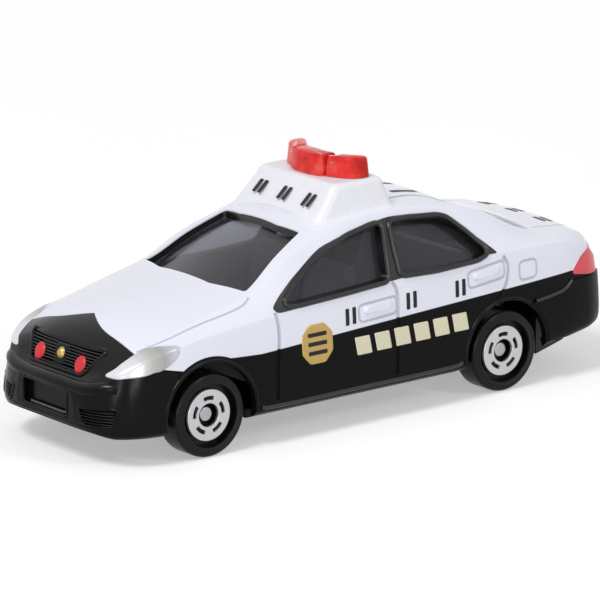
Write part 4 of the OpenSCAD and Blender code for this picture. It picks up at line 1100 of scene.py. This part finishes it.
# %% Finishes on the solids
for node, surface in (("chassis", base_black), ("cabin_interior", cabin_grey), ("chassis_rivets", steel)):
    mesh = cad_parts[node].data
    mesh.materials.clear()
    mesh.materials.append(surface)
print("solids shown: 3")

# %% [markdown]
# ## Studio
# A pale floor, a white background and large soft lights. The camera stands where the photograph was taken:
# left of the nose, a little above the roof, with a long lens.

# %% Floor, lights and camera
scene = bpy.context.scene
world = bpy.data.worlds.new("studio")
scene.world = world
world.use_nodes = True
tree = world.node_tree
sky = tree.nodes["Background"]
sky.inputs["Color"].default_value = (1, 1, 1, 1)


def seen_directly(tree):
    path = tree.nodes.new("ShaderNodeLightPath")
    first = math_node(tree, "MAXIMUM", path.outputs["Is Camera Ray"], path.outputs["Is Glossy Ray"])
    return math_node(tree, "MAXIMUM", first, path.outputs["Is Transmission Ray"])


tree.links.new(math_node(tree, "MULTIPLY_ADD", seen_directly(tree), .6, .4), sky.inputs["Strength"])

floor_white = bpy.data.materials.new("floor_white")
floor_white.use_nodes = True
tree = floor_white.node_tree
bsdf = tree.nodes["Principled BSDF"]
bsdf.inputs["Base Color"].default_value = (.78, .78, .78, 1)
bsdf.inputs["Roughness"].default_value = .9
bsdf.inputs["Specular IOR Level"].default_value = 0
bsdf.inputs["Emission Color"].default_value = (1, 1, 1, 1)
length = tree.nodes.new("ShaderNodeVectorMath")
length.operation = "LENGTH"
tree.links.new(tree.nodes.new("ShaderNodeTexCoord").outputs["Object"], length.inputs[0])
far = tree.nodes.new("ShaderNodeMapRange")
far.interpolation_type = "SMOOTHSTEP"
for label, value in (("From Min", .12), ("From Max", 1.1), ("To Min", .37), ("To Max", .95)):
    far.inputs[label].default_value = value
tree.links.new(length.outputs["Value"], far.inputs["Value"])
glow_back = math_node(tree, "MULTIPLY", seen_directly(tree), far.outputs["Result"])
tree.links.new(glow_back, bsdf.inputs["Emission Strength"])
FLOOR, FLOOR_Z = 25000, -.02
corners = [(x * FLOOR, y * FLOOR, FLOOR_Z) for x, y in ((-1, -1), (1, -1), (1, 1), (-1, 1))]
floor = mesh_piece("floor", corners, [[0, 1, 2, 3]], floor_white)


def soft_light(name, place, size, power, aim=(0, 0, 12)):
    lamp = bpy.data.lights.new(name, "AREA")
    lamp.shape, lamp.size, lamp.size_y, lamp.energy = "RECTANGLE", size[0] * MM, size[1] * MM, power
    holder = bpy.data.objects.new(name, lamp)
    holder.location = Vector(place) * MM
    holder.rotation_euler = (Vector(aim) - Vector(place)).to_track_quat("-Z", "Y").to_euler()
    scene.collection.objects.link(holder)


soft_light("top_box", (760, 120, 1080), (380, 380), 7.8)
soft_light("key_box", (-480, 1260, 900), (300, 300), 3.6)
soft_light("front_box", (1300, 720, 240), (140, 300), 1.8)
soft_light("side_box", (560, 1180, 230), (160, 340), 2.5)

camera = bpy.data.objects.new("camera", bpy.data.cameras.new("camera"))
ahead, up = Vector((-.59595, -.76076, -.25705)), Vector((-.16232, -.19938, .96639))
right = ahead.cross(up)
stands_at = Matrix.Translation(Vector((364.495, 465.053, 168.906)) * MM)
camera.matrix_world = stands_at @ Matrix((right, up, -ahead)).transposed().to_4x4()
camera.data.lens, camera.data.sensor_width = 315.7, 36
camera.data.clip_start, camera.data.clip_end = .05, 60
scene.collection.objects.link(camera)
scene.camera = camera
scene.view_settings.view_transform = "Standard"
